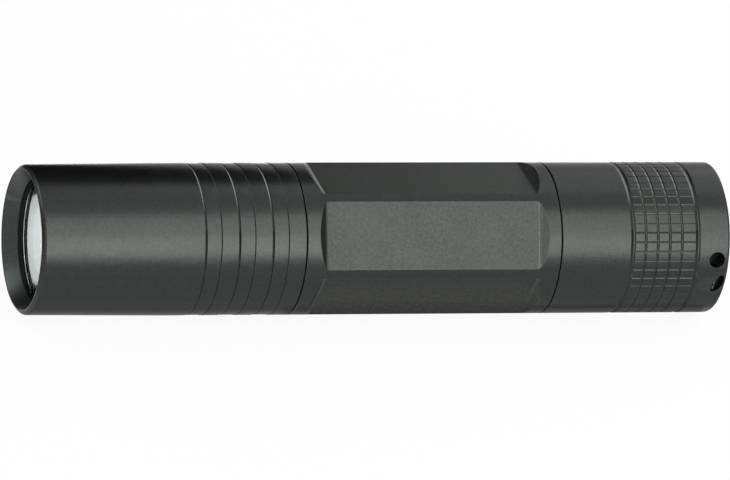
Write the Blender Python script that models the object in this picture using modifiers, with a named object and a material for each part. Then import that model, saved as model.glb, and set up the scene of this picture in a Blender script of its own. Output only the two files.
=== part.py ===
"""An LED flashlight that lies on its side, its head towards -X.

Every piece is modelled about the light's own axis, z running from head to tail, and is placed
along it. The empty called flashlight_axis lays that axis down, so that its +Z is the world's +X.
"""

from math import cos, pi, radians, sin, sqrt, tan

import bmesh
import bpy
from mathutils import Matrix, Vector

MM = 0.001

# Overall sizes: the light is as thick and as long as its cell and what is round it need
HEAD_LENGTH = 45.5 * MM
CAP_LENGTH = 29.9 * MM
CELL_R = 9.2 * MM
CELL_LENGTH = 65.0 * MM

# Fits: the gap between pieces that touch, the tighter one round a seal, and the turned facets
GAP = 0.3 * MM
SEAL_GAP = 0.2 * MM
STEPS = 36
FINE_STEPS = 24
EDGE = 0.3 * MM

# Walls, from the cell outwards: the tube's neck, the sleeve round it and the steps in the sleeves
NECK_WALL = 1.7 * MM
SLEEVE_WALL = 1.2 * MM
HEAD_BORE_STEP = 0.6 * MM
CAVITY_STEP = 0.9 * MM

# Head shell: a dished front rim, a lip that holds the window, and thin turned grooves
FRONT_NARROWING = 0.2 * MM
TAPER_MARGIN = 3.85 * MM
CREST_INSET = 0.75 * MM
RIM_ROUND = 0.45 * MM
DISH_DEPTH = 2.5 * MM
LIP_WIDTH = 1.1 * MM
LIP_THICK = 0.6 * MM
GROOVE_COUNT = 6
GROOVE_PITCH = 2.91 * MM
GROOVE_FIRST = 3.1 * MM
GROOVE_WIDTH = 0.5 * MM
GROOVE_DEPTH = 0.35 * MM

# Window, reflector and emitter
LENS_THICK = 1.5 * MM
LENS_CHAMFER = 0.2 * MM
SEAL_SECTION = 0.8 * MM
REFLECTOR_RIM = 0.4 * MM
REFLECTOR_HOLE_R = 2.4 * MM
REFLECTOR_FLANGE = 2.0 * MM
REFLECTOR_WALL = 0.9 * MM
REFLECTOR_BASE_R = 5.4 * MM
DISH_POINTS = 8
CENTERING_THICK = 0.7 * MM
CENTERING_R = 5.4 * MM
PACKAGE_SIDE = 3.45 * MM
DOME_R = 1.25 * MM
STAR_MARGIN = 1.2 * MM
STAR_THICK = 1.6 * MM
NOTCH_R = 1.1 * MM

# Heat sink and driver
PILL_LENGTH = 8.7 * MM
SHELF_THICK = 3.0 * MM
SKIRT_WALL = 1.4 * MM
LEAD_R = 0.45 * MM
LEAD_HOLE_R = 0.9 * MM
LEAD_REACH = 1.5 * MM
BOARD_THICK = 1.2 * MM
INDUCTOR_SIDE = 4.8 * MM
CHIP_SIDE = 3.9 * MM
CHIP_THICK = 1.2 * MM
PARTS_PLACE = 3.4 * MM
RETAINER_THICK = 1.5 * MM
RETAINER_WALL = 1.6 * MM
SPRING_WIRE_R = 0.35 * MM
DRIVER_SPRING_LENGTH = 6.8 * MM
DRIVER_SPRING_R = 4.5 * MM
SPRING_TIP_R = 2.1 * MM
SPRING_TURNS = 4
COIL_POINTS = 8

# Threaded necks at both ends of the tube
HEAD_NECK = 14.0 * MM
SEAL_GROOVE_DEPTH = 1.0 * MM
SEAL_GROOVE_WIDTH = 1.5 * MM
SEAL_GROOVE_PLACE = 1.4 * MM

# Milled flats round the tube
FLAT_COUNT = 6
FLAT_DEPTH = 1.4 * MM
FLAT_MARGIN = 2.3 * MM
FLAT_RAMP = 1.55 * MM
FLAT_FILLET = 1.2 * MM
FILLET_POINTS = 4
CUTTER_RISE = 0.6 * MM

# Battery
BUTTON_R = 2.8 * MM
BUTTON_HEIGHT = 1.1 * MM
INSULATOR_INSET = 1.4 * MM
INSULATOR_THICK = 0.4 * MM
CRIMP_PLACE = 3.2 * MM
CRIMP_DEPTH = 0.6 * MM

# Tail cap
CAVITY_LEAD = 1.3 * MM
END_WALL = 4.3 * MM
RIM_WIDTH = 4.4 * MM
TAIL_ROUND = 0.5 * MM
BAND_INSET = 6.0 * MM
BAND_LENGTH = 11.8 * MM
BAND_EDGE_WIDTH = 0.9 * MM
BAND_EDGE_DEPTH = 0.4 * MM
RING_COUNT = 4
RING_WIDTH = 0.45 * MM
RING_DEPTH = 0.3 * MM
LANYARD_R = 1.3 * MM
LANYARD_INSET = 2.2 * MM
LANYARD_HIGH = radians(10.1)
LANYARD_LOW = radians(-17.0)
CORD_GROOVE_R = 0.8 * MM
CORD_GROOVE_SINK = 0.2 * MM

# Tail switch
SPACER_LENGTH = 3.9 * MM
SPACER_WALL = 1.7 * MM
RING_THICK = 2.8 * MM
RING_WALL = 2.3 * MM
RING_CLEARANCE = 3.2 * MM
SLOT_WIDTH = 1.6 * MM
SLOT_DEPTH = 1.0 * MM
BOOT_FLANGE = 1.3 * MM
BOOT_CLEARANCE = 0.9 * MM
BOOT_WALL = 1.1 * MM
BOOT_RECESS = 0.8 * MM
BOOT_CROWN = 1.6 * MM
CROWN_POINTS = 5
HOUSING_CLEARANCE = 0.9 * MM
HOUSING_WALL = 1.7 * MM
HOUSING_FLOOR = 0.9 * MM
COVER_THICK = 0.8 * MM
PLUNGER_CATCH = 1.3 * MM
PLUNGER_FLANGE = 0.9 * MM
SWITCH_COVER_TOP = 3.0 * MM
PLUNGER_SPRING_WIRE_R = 0.2 * MM
PLUNGER_SPRING_TURNS = 3
TAIL_SPRING_R = 6.2 * MM
TAIL_SPRING_LENGTH = 4.6 * MM

# Radii, from the cell outwards and then into the head and the cap
TUBE_BORE_R = CELL_R + GAP
INSULATOR_R = CELL_R - INSULATOR_INSET
NECK_R = TUBE_BORE_R + NECK_WALL
NECK_BORE_R = NECK_R + GAP
BODY_R = NECK_BORE_R + SLEEVE_WALL
AXIS_HEIGHT = BODY_R * cos(pi / STEPS)
HEAD_FRONT_R = BODY_R - FRONT_NARROWING
CREST_R = HEAD_FRONT_R - CREST_INSET
HEAD_BORE_R = NECK_BORE_R - HEAD_BORE_STEP
LIP_R = HEAD_BORE_R - LIP_WIDTH
INSERT_R = HEAD_BORE_R - GAP
SPIGOT_R = INSERT_R - SEAL_SECTION - SEAL_GAP
REFLECTOR_OPEN_R = SPIGOT_R - REFLECTOR_RIM
SKIRT_R = INSERT_R - SKIRT_WALL
STAR_R = SKIRT_R - STAR_MARGIN
CAVITY_R = NECK_BORE_R - CAVITY_STEP
SWITCH_R = CAVITY_R - GAP
RECESS_R = BODY_R - RIM_WIDTH
BOOT_R = RECESS_R - BOOT_CLEARANCE
HOUSING_R = BOOT_R - BOOT_WALL - HOUSING_CLEARANCE
PLUNGER_R = HOUSING_R - HOUSING_WALL - PLUNGER_CATCH

# Lengths: what lies before the cell, the cell, and what lies behind it
CELL_PLACE = HEAD_LENGTH - HEAD_NECK - RETAINER_THICK + DRIVER_SPRING_LENGTH + BUTTON_HEIGHT + GAP
TAIL_STACK = TAIL_SPRING_LENGTH + BOARD_THICK + SPACER_LENGTH + BOOT_FLANGE + END_WALL + 5 * GAP
LENGTH = CELL_PLACE + CELL_LENGTH + TAIL_STACK

# Places along the axis, each worked out from the sizes above
FRONT = -LENGTH / 2
TAIL = LENGTH / 2
HEAD_JOINT = FRONT + HEAD_LENGTH
CAP_JOINT = TAIL - CAP_LENGTH
TUBE_FRONT = HEAD_JOINT - HEAD_NECK
TAPER_LENGTH = HEAD_LENGTH - GROOVE_FIRST - (GROOVE_COUNT - 1) * GROOVE_PITCH - TAPER_MARGIN

PILL_END = TUBE_FRONT - GAP
PILL_Z = PILL_END - PILL_LENGTH
STAR_Z = PILL_Z - GAP - STAR_THICK
CENTERING_Z = STAR_Z - GAP - CENTERING_THICK
LENS_Z = FRONT + DISH_DEPTH + LIP_THICK + GAP
REFLECTOR_Z = LENS_Z + LENS_THICK + GAP
REFLECTOR_DEPTH = CENTERING_Z - GAP - REFLECTOR_Z
FOCAL_LENGTH = (REFLECTOR_OPEN_R**2 - REFLECTOR_HOLE_R**2) / (4 * REFLECTOR_DEPTH)
SPIGOT_LENGTH = SEAL_SECTION + SEAL_GAP
RETAINER_Z = PILL_END - RETAINER_THICK
DRIVER_Z = RETAINER_Z - GAP - BOARD_THICK
LEAD_PLACE = STAR_R
DRIVER_SPRING_Z = RETAINER_Z

BUTTON_Z = DRIVER_SPRING_Z + DRIVER_SPRING_LENGTH + GAP
CELL_Z = FRONT + CELL_PLACE
TAIL_SPRING_Z = CELL_Z + CELL_LENGTH + GAP

END_WALL_Z = TAIL - END_WALL
BOOT_Z = END_WALL_Z - GAP - BOOT_FLANGE
SPACER_Z = BOOT_Z - GAP - SPACER_LENGTH
SWITCH_BOARD_Z = SPACER_Z - GAP - BOARD_THICK
RING_Z = SWITCH_BOARD_Z - GAP - RING_THICK
CAVITY_Z = RING_Z - CAVITY_LEAD
TUBE_REAR = RING_Z - RING_CLEARANCE
CAP_NECK = TUBE_REAR - CAP_JOINT
BAND_START = CAP_LENGTH - BAND_INSET - BAND_LENGTH
BOOT_TOP_Z = TAIL - BOOT_RECESS
COVER_Z = BOOT_TOP_Z - BOOT_WALL - SWITCH_COVER_TOP
PLUNGER_Z = COVER_Z - GAP - PLUNGER_FLANGE
PLUNGER_TOP_Z = BOOT_TOP_Z - BOOT_WALL - GAP
CAVITY_FLOOR_Z = SPACER_Z + HOUSING_FLOOR


def clear_scene():
    """Remove whatever the scene holds."""
    for old in list(bpy.data.objects):
        bpy.data.objects.remove(old, do_unlink=True)


def collection(name):
    """A new collection in the scene."""
    made = bpy.data.collections.new(name)
    bpy.context.scene.collection.children.link(made)
    return made


def material(name, colour, roughness, metallic):
    """A Principled material."""
    made = bpy.data.materials.new(name)
    made.use_nodes = True
    shader = made.node_tree.nodes["Principled BSDF"]
    shader.inputs["Base Color"].default_value = (*colour, 1.0)
    shader.inputs["Roughness"].default_value = roughness
    shader.inputs["Metallic"].default_value = metallic
    made.diffuse_color = (*colour, 1.0)
    return made


def empty(name, parent, z=0.0):
    """An empty on the light's axis, which the pieces of one body hang from."""
    made = bpy.data.objects.new(name, None)
    PARTS.objects.link(made)
    made.parent = parent
    made.location.z = z
    return made


def place(made, z, parent):
    """Put an object at z on the axis of its parent."""
    made.parent = parent
    made.location.z = z
    return made


def smooth(mesh):
    """Shade a mesh smooth, with its edges left sharp."""
    mesh.shade_smooth()
    mesh.set_sharp_from_angle(angle=radians(32))


def evaluated_mesh(made):
    """The object's mesh with its modifiers applied and loose caps welded."""
    bpy.context.view_layer.update()
    graph = bpy.context.evaluated_depsgraph_get()
    mesh = bpy.data.meshes.new_from_object(made.evaluated_get(graph))
    work = bmesh.new()
    work.from_mesh(mesh)
    bmesh.ops.remove_doubles(work, verts=work.verts, dist=0.002 * MM)
    work.to_mesh(mesh)
    work.free()
    return mesh


def turned(name, outline, finish, z, parent, steps=STEPS):
    """A turned piece from (radius, z) points that run down its outer side and up its inner one.

    An outline that starts on the axis also ends there and makes a solid piece; any other is
    closed into a ring. The facets are centred straight below the axis, so the piece lies flat.
    """
    mesh = bpy.data.meshes.new(name)
    work = bmesh.new()
    points = [work.verts.new((radius, 0.0, height)) for radius, height in outline]
    for start, end in zip(points, points[1:]):
        work.edges.new((start, end))
    if outline[0][0] > 0.0:
        work.edges.new((points[-1], points[0]))
    work.to_mesh(mesh)
    work.free()
    made = bpy.data.objects.new(name, mesh)
    PARTS.objects.link(made)
    screw = made.modifiers.new("turn", "SCREW")
    screw.axis = "Z"
    screw.angle = 2 * pi
    screw.steps = steps
    screw.render_steps = steps
    screw.use_merge_vertices = True
    screw.merge_threshold = 0.00001
    made.data = evaluated_mesh(made)
    made.modifiers.clear()
    bpy.data.meshes.remove(mesh)
    made.data.name = name
    smooth(made.data)
    made.data.materials.clear()
    made.data.materials.append(finish)
    made.rotation_euler.z = pi / steps
    return place(made, z, parent)


def ring_outline(outer, inner, thick, edge=0.0):
    """The outline of a plain ring, its outer edges chamfered."""
    outline = [(outer, 0.0), (inner, 0.0), (inner, thick), (outer, thick)]
    if edge:
        outline[0:1] = [(outer, edge), (outer - edge, 0.0)]
        outline[-1:] = [(outer - edge, thick), (outer, thick - edge)]
    return outline


def disc_outline(outer, thick, edge):
    """The outline of a solid disc with chamfered edges."""
    return [
        (0.0, thick),
        (outer - edge, thick),
        (outer, thick - edge),
        (outer, edge),
        (outer - edge, 0.0),
        (0.0, 0.0),
    ]


def seal_ring(name, centre_r, section, z, parent):
    """A round rubber ring about the axis."""
    bpy.ops.mesh.primitive_torus_add(
        major_radius=centre_r,
        minor_radius=section / 2,
        major_segments=STEPS,
        minor_segments=6,
    )
    made = bpy.context.object
    made.name = name
    for holder in made.users_collection:
        holder.objects.unlink(made)
    PARTS.objects.link(made)
    made.data.materials.append(RUBBER)
    made.data.shade_smooth()
    made.rotation_euler.z = pi / STEPS
    return place(made, z, parent)


def box_mesh(name, wide, deep, high):
    """A box mesh whose low face lies at z = 0."""
    mesh = bpy.data.meshes.new(name)
    work = bmesh.new()
    lift = Matrix.Translation((0.0, 0.0, high / 2))
    bmesh.ops.create_cube(work, size=1.0, matrix=lift @ Matrix.Diagonal((wide, deep, high, 1.0)))
    work.to_mesh(mesh)
    work.free()
    return mesh


def box(name, size, finish, z, parent, x=0.0, y=0.0):
    """A box of size (x, y, z) that stands at z, to the side of the axis by x and y."""
    made = bpy.data.objects.new(name, box_mesh(name, *size))
    PARTS.objects.link(made)
    made.data.materials.append(finish)
    made.location.x = x
    made.location.y = y
    return place(made, z, parent)


def cylinder_cutter(name, radius, length, sides, transform, parent):
    """A cylinder that cuts, its middle and direction set by transform."""
    mesh = bpy.data.meshes.new(name)
    work = bmesh.new()
    bmesh.ops.create_cone(
        work, cap_ends=True, segments=sides, radius1=radius, radius2=radius, depth=length
    )
    work.to_mesh(mesh)
    work.free()
    made = bpy.data.objects.new(name, mesh)
    hide_cutter(made, parent)
    made.matrix_local = transform
    return made


def hide_cutter(made, parent):
    """Keep a cutter out of the model."""
    CUTTERS.objects.link(made)
    made.parent = parent
    made.hide_render = True
    made.display_type = "WIRE"


def cut(made, cutter):
    """Take a cutter's shape out of a piece."""
    tool = made.modifiers.new(cutter.name, "BOOLEAN")
    tool.operation = "DIFFERENCE"
    tool.solver = "EXACT"
    tool.object = cutter


def coil(name, start_r, end_r, wire_r, turns, length, z, parent):
    """A conical spring from start_r at its low end to end_r at its high end."""
    count = turns * COIL_POINTS
    route = []
    for index in range(count + 1):
        part = index / count
        angle = 2 * pi * turns * part
        radius = start_r + (end_r - start_r) * part
        height = wire_r + (length - 2 * wire_r) * part
        route.append((radius * cos(angle), radius * sin(angle), height))
    curve = wire_curve(name, wire_r, route)
    made = bpy.data.objects.new(name, curve)
    PARTS.objects.link(made)
    curve.materials.append(SPRING_STEEL)
    return place(made, z, parent)


def v_groove(centre, radius, width, depth):
    """Three outline points of a V groove, from its high side to its low side."""
    return [(radius, centre + width / 2), (radius - depth, centre), (radius, centre - width / 2)]


def flat_groove(centre, radius, width, depth):
    """Four outline points of a flat-bottomed groove with sloping sides."""
    return [
        (radius, centre + width / 2),
        (radius - depth, centre + width / 4),
        (radius - depth, centre - width / 4),
        (radius, centre - width / 2),
    ]


def head_shell(parent):
    """The turned head: grooves outside, a dished rim, and the bores for what it holds."""
    rear = HEAD_LENGTH - GAP / 2
    outline = [(BODY_R - EDGE, rear), (BODY_R, rear - EDGE)]
    for index in range(GROOVE_COUNT):
        centre = HEAD_LENGTH - GROOVE_FIRST - index * GROOVE_PITCH
        outline += v_groove(centre, BODY_R, GROOVE_WIDTH, GROOVE_DEPTH)
    outline += [
        (BODY_R, TAPER_LENGTH),
        (HEAD_FRONT_R, RIM_ROUND),
        (HEAD_FRONT_R - RIM_ROUND / 3, RIM_ROUND / 4),
        (CREST_R, 0.0),
        (LIP_R, DISH_DEPTH),
        (LIP_R, DISH_DEPTH + LIP_THICK),
        (HEAD_BORE_R, DISH_DEPTH + LIP_THICK),
        (HEAD_BORE_R, PILL_END - FRONT),
        (NECK_BORE_R, PILL_END - FRONT),
        (NECK_BORE_R, rear - EDGE),
        (NECK_BORE_R + EDGE, rear),
    ]
    return turned("head_shell", outline, ANODISED, FRONT, parent)


def lens(parent):
    """The clear window behind the lip."""
    outline = disc_outline(INSERT_R, LENS_THICK, LENS_CHAMFER)
    return turned("lens", outline, GLASS, LENS_Z, parent)


def reflector_radius(z):
    """The radius of the parabolic dish, z back from its rim."""
    vertex = REFLECTOR_OPEN_R**2 / (4 * FOCAL_LENGTH)
    return sqrt(4 * FOCAL_LENGTH * (vertex - z))


def reflector(parent):
    """A parabolic dish with a spigot inside the seal and a flange that fits the head's bore."""
    shoulder = SPIGOT_LENGTH + REFLECTOR_FLANGE
    outline = [
        (REFLECTOR_BASE_R, REFLECTOR_DEPTH),
        (reflector_radius(shoulder) + REFLECTOR_WALL, shoulder),
        (INSERT_R, shoulder),
        (INSERT_R, SPIGOT_LENGTH),
        (SPIGOT_R, SPIGOT_LENGTH),
        (SPIGOT_R, 0.0),
    ]
    for index in range(DISH_POINTS):
        radius = REFLECTOR_OPEN_R
        radius += (REFLECTOR_HOLE_R - REFLECTOR_OPEN_R) * index / (DISH_POINTS - 1)
        depth = (REFLECTOR_OPEN_R**2 - radius**2) / (4 * FOCAL_LENGTH)
        outline.append((radius, depth))
    return turned("reflector", outline, MIRROR_COAT, REFLECTOR_Z, parent)


def lens_o_ring(parent):
    """The seal between window and reflector, round the reflector's spigot."""
    centre = INSERT_R - SEAL_SECTION / 2
    z = LENS_Z + LENS_THICK + SEAL_GAP + SEAL_SECTION / 2
    return seal_ring("lens_o_ring", centre, SEAL_SECTION, z, parent)


def emitter(parent):
    """The emitter, its dome, the ring round it and the round board that carries them."""
    hole = PACKAGE_SIDE / sqrt(2) + GAP
    ring = ring_outline(CENTERING_R, hole, CENTERING_THICK)
    turned("centering_ring", ring, WHITE_PLASTIC, CENTERING_Z, parent, FINE_STEPS)
    package = (PACKAGE_SIDE, PACKAGE_SIDE, CENTERING_THICK)
    box("led_package", package, CERAMIC, CENTERING_Z, parent)
    arc = [
        (DOME_R * cos(angle), -DOME_R * sin(angle))
        for angle in [radians(step) for step in (0, 22.5, 45, 67.5)]
    ]
    outline = [(0.0, 0.0)] + arc + [(0.0, -DOME_R)]
    turned("led_dome", outline, PHOSPHOR, CENTERING_Z - GAP, parent, FINE_STEPS)
    star = disc_outline(STAR_R, STAR_THICK, EDGE / 2)
    board = turned("led_star_board", star, BOARD_WHITE, STAR_Z, parent, FINE_STEPS)
    for side in (1, -1):
        lift = Matrix.Translation((side * LEAD_PLACE, 0.0, STAR_Z + STAR_THICK / 2))
        notch = cylinder_cutter(f"star_notch_{side}", NOTCH_R, 2 * STAR_THICK, 12, lift, parent)
        cut(board, notch)


def led_pill(parent):
    """The heat sink: a shelf under the emitter's board and a skirt round the driver."""
    outline = [
        (0.0, SHELF_THICK),
        (SKIRT_R, SHELF_THICK),
        (SKIRT_R, PILL_LENGTH),
        (INSERT_R, PILL_LENGTH),
        (INSERT_R, EDGE),
        (INSERT_R - EDGE, 0.0),
        (0.0, 0.0),
    ]
    made = turned("led_pill", outline, BRASS, PILL_Z, parent)
    for side in (1, -1):
        lift = Matrix.Translation((side * LEAD_PLACE, 0.0, PILL_Z + SHELF_THICK / 2))
        hole = cylinder_cutter(f"lead_hole_{side}", LEAD_HOLE_R, 2 * SHELF_THICK, 12, lift, parent)
        cut(made, hole)


def led_lead(name, side, finish, parent):
    """An insulated wire from the driver through the heat sink to a pad on the emitter's board."""
    front = STAR_Z - GAP - LEAD_R
    bend = 2 * LEAD_R
    route = [(LEAD_PLACE - LEAD_REACH, front)]
    for degrees in (0, 30, 60, 90):
        turn = radians(degrees)
        radius = LEAD_PLACE - bend + bend * sin(turn)
        route.append((radius, front + bend * (1 - cos(turn))))
    route.append((LEAD_PLACE, DRIVER_Z - GAP))
    curve = wire_curve(name, LEAD_R, [(side * radius, 0.0, height) for radius, height in route])
    made = bpy.data.objects.new(name, curve)
    PARTS.objects.link(made)
    curve.materials.append(finish)
    return place(made, 0.0, parent)


def wire_curve(name, radius, route):
    """A round wire along a list of points."""
    curve = bpy.data.curves.new(name, "CURVE")
    curve.dimensions = "3D"
    curve.bevel_depth = radius
    curve.bevel_resolution = 2
    curve.use_fill_caps = True
    spline = curve.splines.new("POLY")
    spline.points.add(len(route) - 1)
    for point, co in zip(spline.points, route):
        point.co = (*co, 1.0)
    return curve


def driver(parent):
    """The driver board, the parts on it and the threaded ring that holds it."""
    board_r = SKIRT_R - GAP
    board = disc_outline(board_r, BOARD_THICK, EDGE / 2)
    turned("driver_board", board, BOARD_GREEN, DRIVER_Z, parent, FINE_STEPS)
    room = DRIVER_Z - GAP - (PILL_Z + SHELF_THICK + GAP)
    inductor = (INDUCTOR_SIDE, INDUCTOR_SIDE, room)
    box("driver_inductor", inductor, CHIP_BLACK, DRIVER_Z - GAP - room, parent, y=PARTS_PLACE)
    chip = (CHIP_SIDE, CHIP_SIDE, CHIP_THICK)
    z = DRIVER_Z - GAP - CHIP_THICK
    box("driver_controller", chip, CHIP_BLACK, z, parent, -PARTS_PLACE, -PARTS_PLACE)
    box("driver_transistor", chip, CHIP_BLACK, z, parent, PARTS_PLACE, -PARTS_PLACE)
    ring = ring_outline(board_r, board_r - RETAINER_WALL, RETAINER_THICK, EDGE)
    turned("driver_retaining_ring", ring, BRASS, RETAINER_Z, parent, FINE_STEPS)


def neck_outline(length, seal):
    """Half a tube end from its tip inwards, as (radius, distance from the tip) points."""
    root = NECK_R - SEAL_GROOVE_DEPTH
    near = length - SEAL_GROOVE_PLACE
    far = near - seal
    return [
        (NECK_R - EDGE, 0.0),
        (NECK_R, EDGE),
        (NECK_R, far),
        (root, far),
        (root, near),
        (NECK_R, near),
        (NECK_R, length + GAP / 2),
        (BODY_R - EDGE, length + GAP / 2),
        (BODY_R, length + GAP / 2 + EDGE),
    ]


def body_tube(parent):
    """The battery tube: a threaded neck at each end and milled flats between."""
    rear = [(radius, TUBE_REAR - z) for radius, z in neck_outline(CAP_NECK, SEAL_GROOVE_WIDTH)]
    front = [(radius, TUBE_FRONT + z) for radius, z in neck_outline(HEAD_NECK, SEAL_GROOVE_WIDTH)]
    bore = [
        (TUBE_BORE_R + EDGE, TUBE_FRONT),
        (TUBE_BORE_R, TUBE_FRONT + EDGE),
        (TUBE_BORE_R, TUBE_REAR - EDGE),
        (TUBE_BORE_R + EDGE, TUBE_REAR),
    ]
    made = turned("body_tube", rear + front[::-1] + bore, ANODISED, 0.0, parent)
    shape = flat_cutter_mesh()
    for index in range(FLAT_COUNT):
        cutter = bpy.data.objects.new(f"flat_cutter_{index + 1}", shape)
        hide_cutter(cutter, parent)
        cutter.rotation_euler = (pi / 2, 0.0, 2 * pi * index / FLAT_COUNT)
        cut(made, cutter)
    return made


def flat_cutter_mesh():
    """A bar with sloping, filleted ends that mills one flat.

    Its outline is drawn with x out from the axis and y along it. It is wide enough for the flat,
    and narrow enough to miss its neighbours.
    """
    floor = BODY_R - FLAT_DEPTH
    top = BODY_R + CUTTER_RISE
    slope = FLAT_DEPTH / FLAT_RAMP
    tangent = FLAT_FILLET * tan(0.5 * angle_of(slope))
    low = HEAD_JOINT + FLAT_MARGIN + FLAT_RAMP
    high = CAP_JOINT - FLAT_MARGIN - FLAT_RAMP
    outline = []
    for corner, way in ((low, 1), (high, -1)):
        end = []
        for index in range(FILLET_POINTS):
            angle = angle_of(slope) * (1 - index / (FILLET_POINTS - 1))
            x = floor + FLAT_FILLET * (1 - cos(angle))
            y = corner + way * (tangent - FLAT_FILLET * sin(angle))
            end.append((x, y))
        end.insert(0, (top, corner - way * (top - floor) / slope))
        outline += end if way == 1 else end[::-1]
    half_flat = sqrt(BODY_R**2 - floor**2)
    half_width = (half_flat + floor * tan(pi / FLAT_COUNT)) / 2
    curve = bpy.data.curves.new("flat_cutter", "CURVE")
    curve.dimensions = "2D"
    curve.fill_mode = "BOTH"
    curve.extrude = half_width
    spline = curve.splines.new("POLY")
    spline.points.add(len(outline) - 1)
    for point, (x, y) in zip(spline.points, outline):
        point.co = (x, y, 0.0, 1.0)
    spline.use_cyclic_u = True
    guide = bpy.data.objects.new("flat_cutter_guide", curve)
    CUTTERS.objects.link(guide)
    mesh = evaluated_mesh(guide)
    bpy.data.objects.remove(guide, do_unlink=True)
    return mesh


def angle_of(slope):
    """The angle whose tangent is slope."""
    return Vector((1.0, slope)).angle(Vector((1.0, 0.0)))


def neck_seal(name, z, parent):
    """A seal in the groove of one of the tube's necks."""
    inner = NECK_R - SEAL_GROOVE_DEPTH + SEAL_GAP
    outer = NECK_BORE_R - SEAL_GAP
    return seal_ring(name, (inner + outer) / 2, outer - inner, z, parent)


def battery(parent):
    """One cell with its positive button towards the head, and the ring round the button."""
    crimp = v_groove(CRIMP_PLACE, CELL_R, CRIMP_DEPTH * 2, CRIMP_DEPTH)
    outline = [(0.0, CELL_LENGTH), (CELL_R - EDGE, CELL_LENGTH), (CELL_R, CELL_LENGTH - EDGE)]
    outline += crimp
    outline += [(CELL_R, EDGE), (CELL_R - EDGE, 0.0), (0.0, 0.0)]
    turned("battery_cell", outline, CELL_WRAP, CELL_Z, parent)
    button = disc_outline(BUTTON_R, BUTTON_HEIGHT, EDGE)
    turned("battery_button", button, SPRING_STEEL, BUTTON_Z, parent, FINE_STEPS)
    ring = ring_outline(INSULATOR_R, BUTTON_R + GAP, INSULATOR_THICK)
    z = CELL_Z - GAP - INSULATOR_THICK
    turned("battery_insulator", ring, WHITE_PLASTIC, z, parent, FINE_STEPS)


def tail_cap(parent):
    """The cap: a knurling band between turned grooves, a bore, and an open end for the button."""
    joint = GAP / 2
    outline = [
        (BODY_R - TAIL_ROUND, CAP_LENGTH),
        (BODY_R - TAIL_ROUND * (1 - sin(pi / 4)), CAP_LENGTH - TAIL_ROUND * (1 - cos(pi / 4))),
        (BODY_R, CAP_LENGTH - TAIL_ROUND),
    ]
    outline += flat_groove(BAND_START + BAND_LENGTH, BODY_R, BAND_EDGE_WIDTH, BAND_EDGE_DEPTH)
    for index in range(RING_COUNT, 0, -1):
        centre = BAND_START + BAND_LENGTH * index / (RING_COUNT + 1)
        outline += v_groove(centre, BODY_R, RING_WIDTH, RING_DEPTH)
    outline += flat_groove(BAND_START, BODY_R, BAND_EDGE_WIDTH, BAND_EDGE_DEPTH)
    outline += [
        (BODY_R, joint + EDGE),
        (BODY_R - EDGE, joint),
        (NECK_BORE_R + EDGE, joint),
        (NECK_BORE_R, joint + EDGE),
        (NECK_BORE_R, CAVITY_Z - CAP_JOINT),
        (CAVITY_R, CAVITY_Z - CAP_JOINT),
        (CAVITY_R, END_WALL_Z - CAP_JOINT),
        (RECESS_R, END_WALL_Z - CAP_JOINT),
        (RECESS_R, CAP_LENGTH - EDGE),
        (RECESS_R + EDGE, CAP_LENGTH),
    ]
    made = turned("tail_cap", outline, ANODISED, CAP_JOINT, parent)
    for name, rise in (("high", LANYARD_HIGH), ("low", LANYARD_LOW)):
        middle = (BODY_R + RECESS_R) / 2
        length = 1.5 * (BODY_R - RECESS_R)
        turn = lanyard_turn(rise) @ Matrix.Translation((middle, 0.0, 0.0))
        turn = turn @ Matrix.Rotation(pi / 2, 4, "Y")
        cut(made, cylinder_cutter(f"lanyard_hole_{name}", LANYARD_R, length, 16, turn, parent))
    half_angle = (LANYARD_HIGH - LANYARD_LOW) / 2
    reach = 2 * BODY_R * sin(half_angle)
    turn = lanyard_turn((LANYARD_HIGH + LANYARD_LOW) / 2)
    turn = turn @ Matrix.Translation((BODY_R - CORD_GROOVE_SINK, 0.0, 0.0))
    turn = turn @ Matrix.Rotation(pi / 2, 4, "X")
    cut(made, cylinder_cutter("cord_groove", CORD_GROOVE_R, reach, 12, turn, parent))
    return made


def lanyard_turn(rise):
    """A frame at the lanyard holes whose x points out of the cap, rise above the -Y side."""
    out = Matrix.Rotation(1.5 * pi - rise, 4, "Z")
    return Matrix.Translation((0.0, 0.0, TAIL - LANYARD_INSET)) @ out


def crown(radius, base, height):
    """Dome points from the middle of its top down to its side."""
    points = []
    for index in range(CROWN_POINTS):
        angle = pi / 2 * index / (CROWN_POINTS - 1)
        points.append((radius * sin(angle), base + height * cos(angle)))
    points[0] = (0.0, base + height)
    return points


def switch_boot(parent):
    """The rubber button: a dome over a flange, hollow and open towards the switch."""
    top = BOOT_TOP_Z - BOOT_Z
    outline = crown(BOOT_R, top - BOOT_CROWN, BOOT_CROWN)
    outline += [
        (BOOT_R, BOOT_FLANGE),
        (SWITCH_R, BOOT_FLANGE),
        (SWITCH_R, 0.0),
        (BOOT_R - BOOT_WALL, 0.0),
    ]
    outline += crown(BOOT_R - BOOT_WALL, top - BOOT_CROWN - BOOT_WALL, BOOT_CROWN)[::-1]
    return turned("switch_boot", outline, RUBBER, BOOT_Z, parent)


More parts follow.
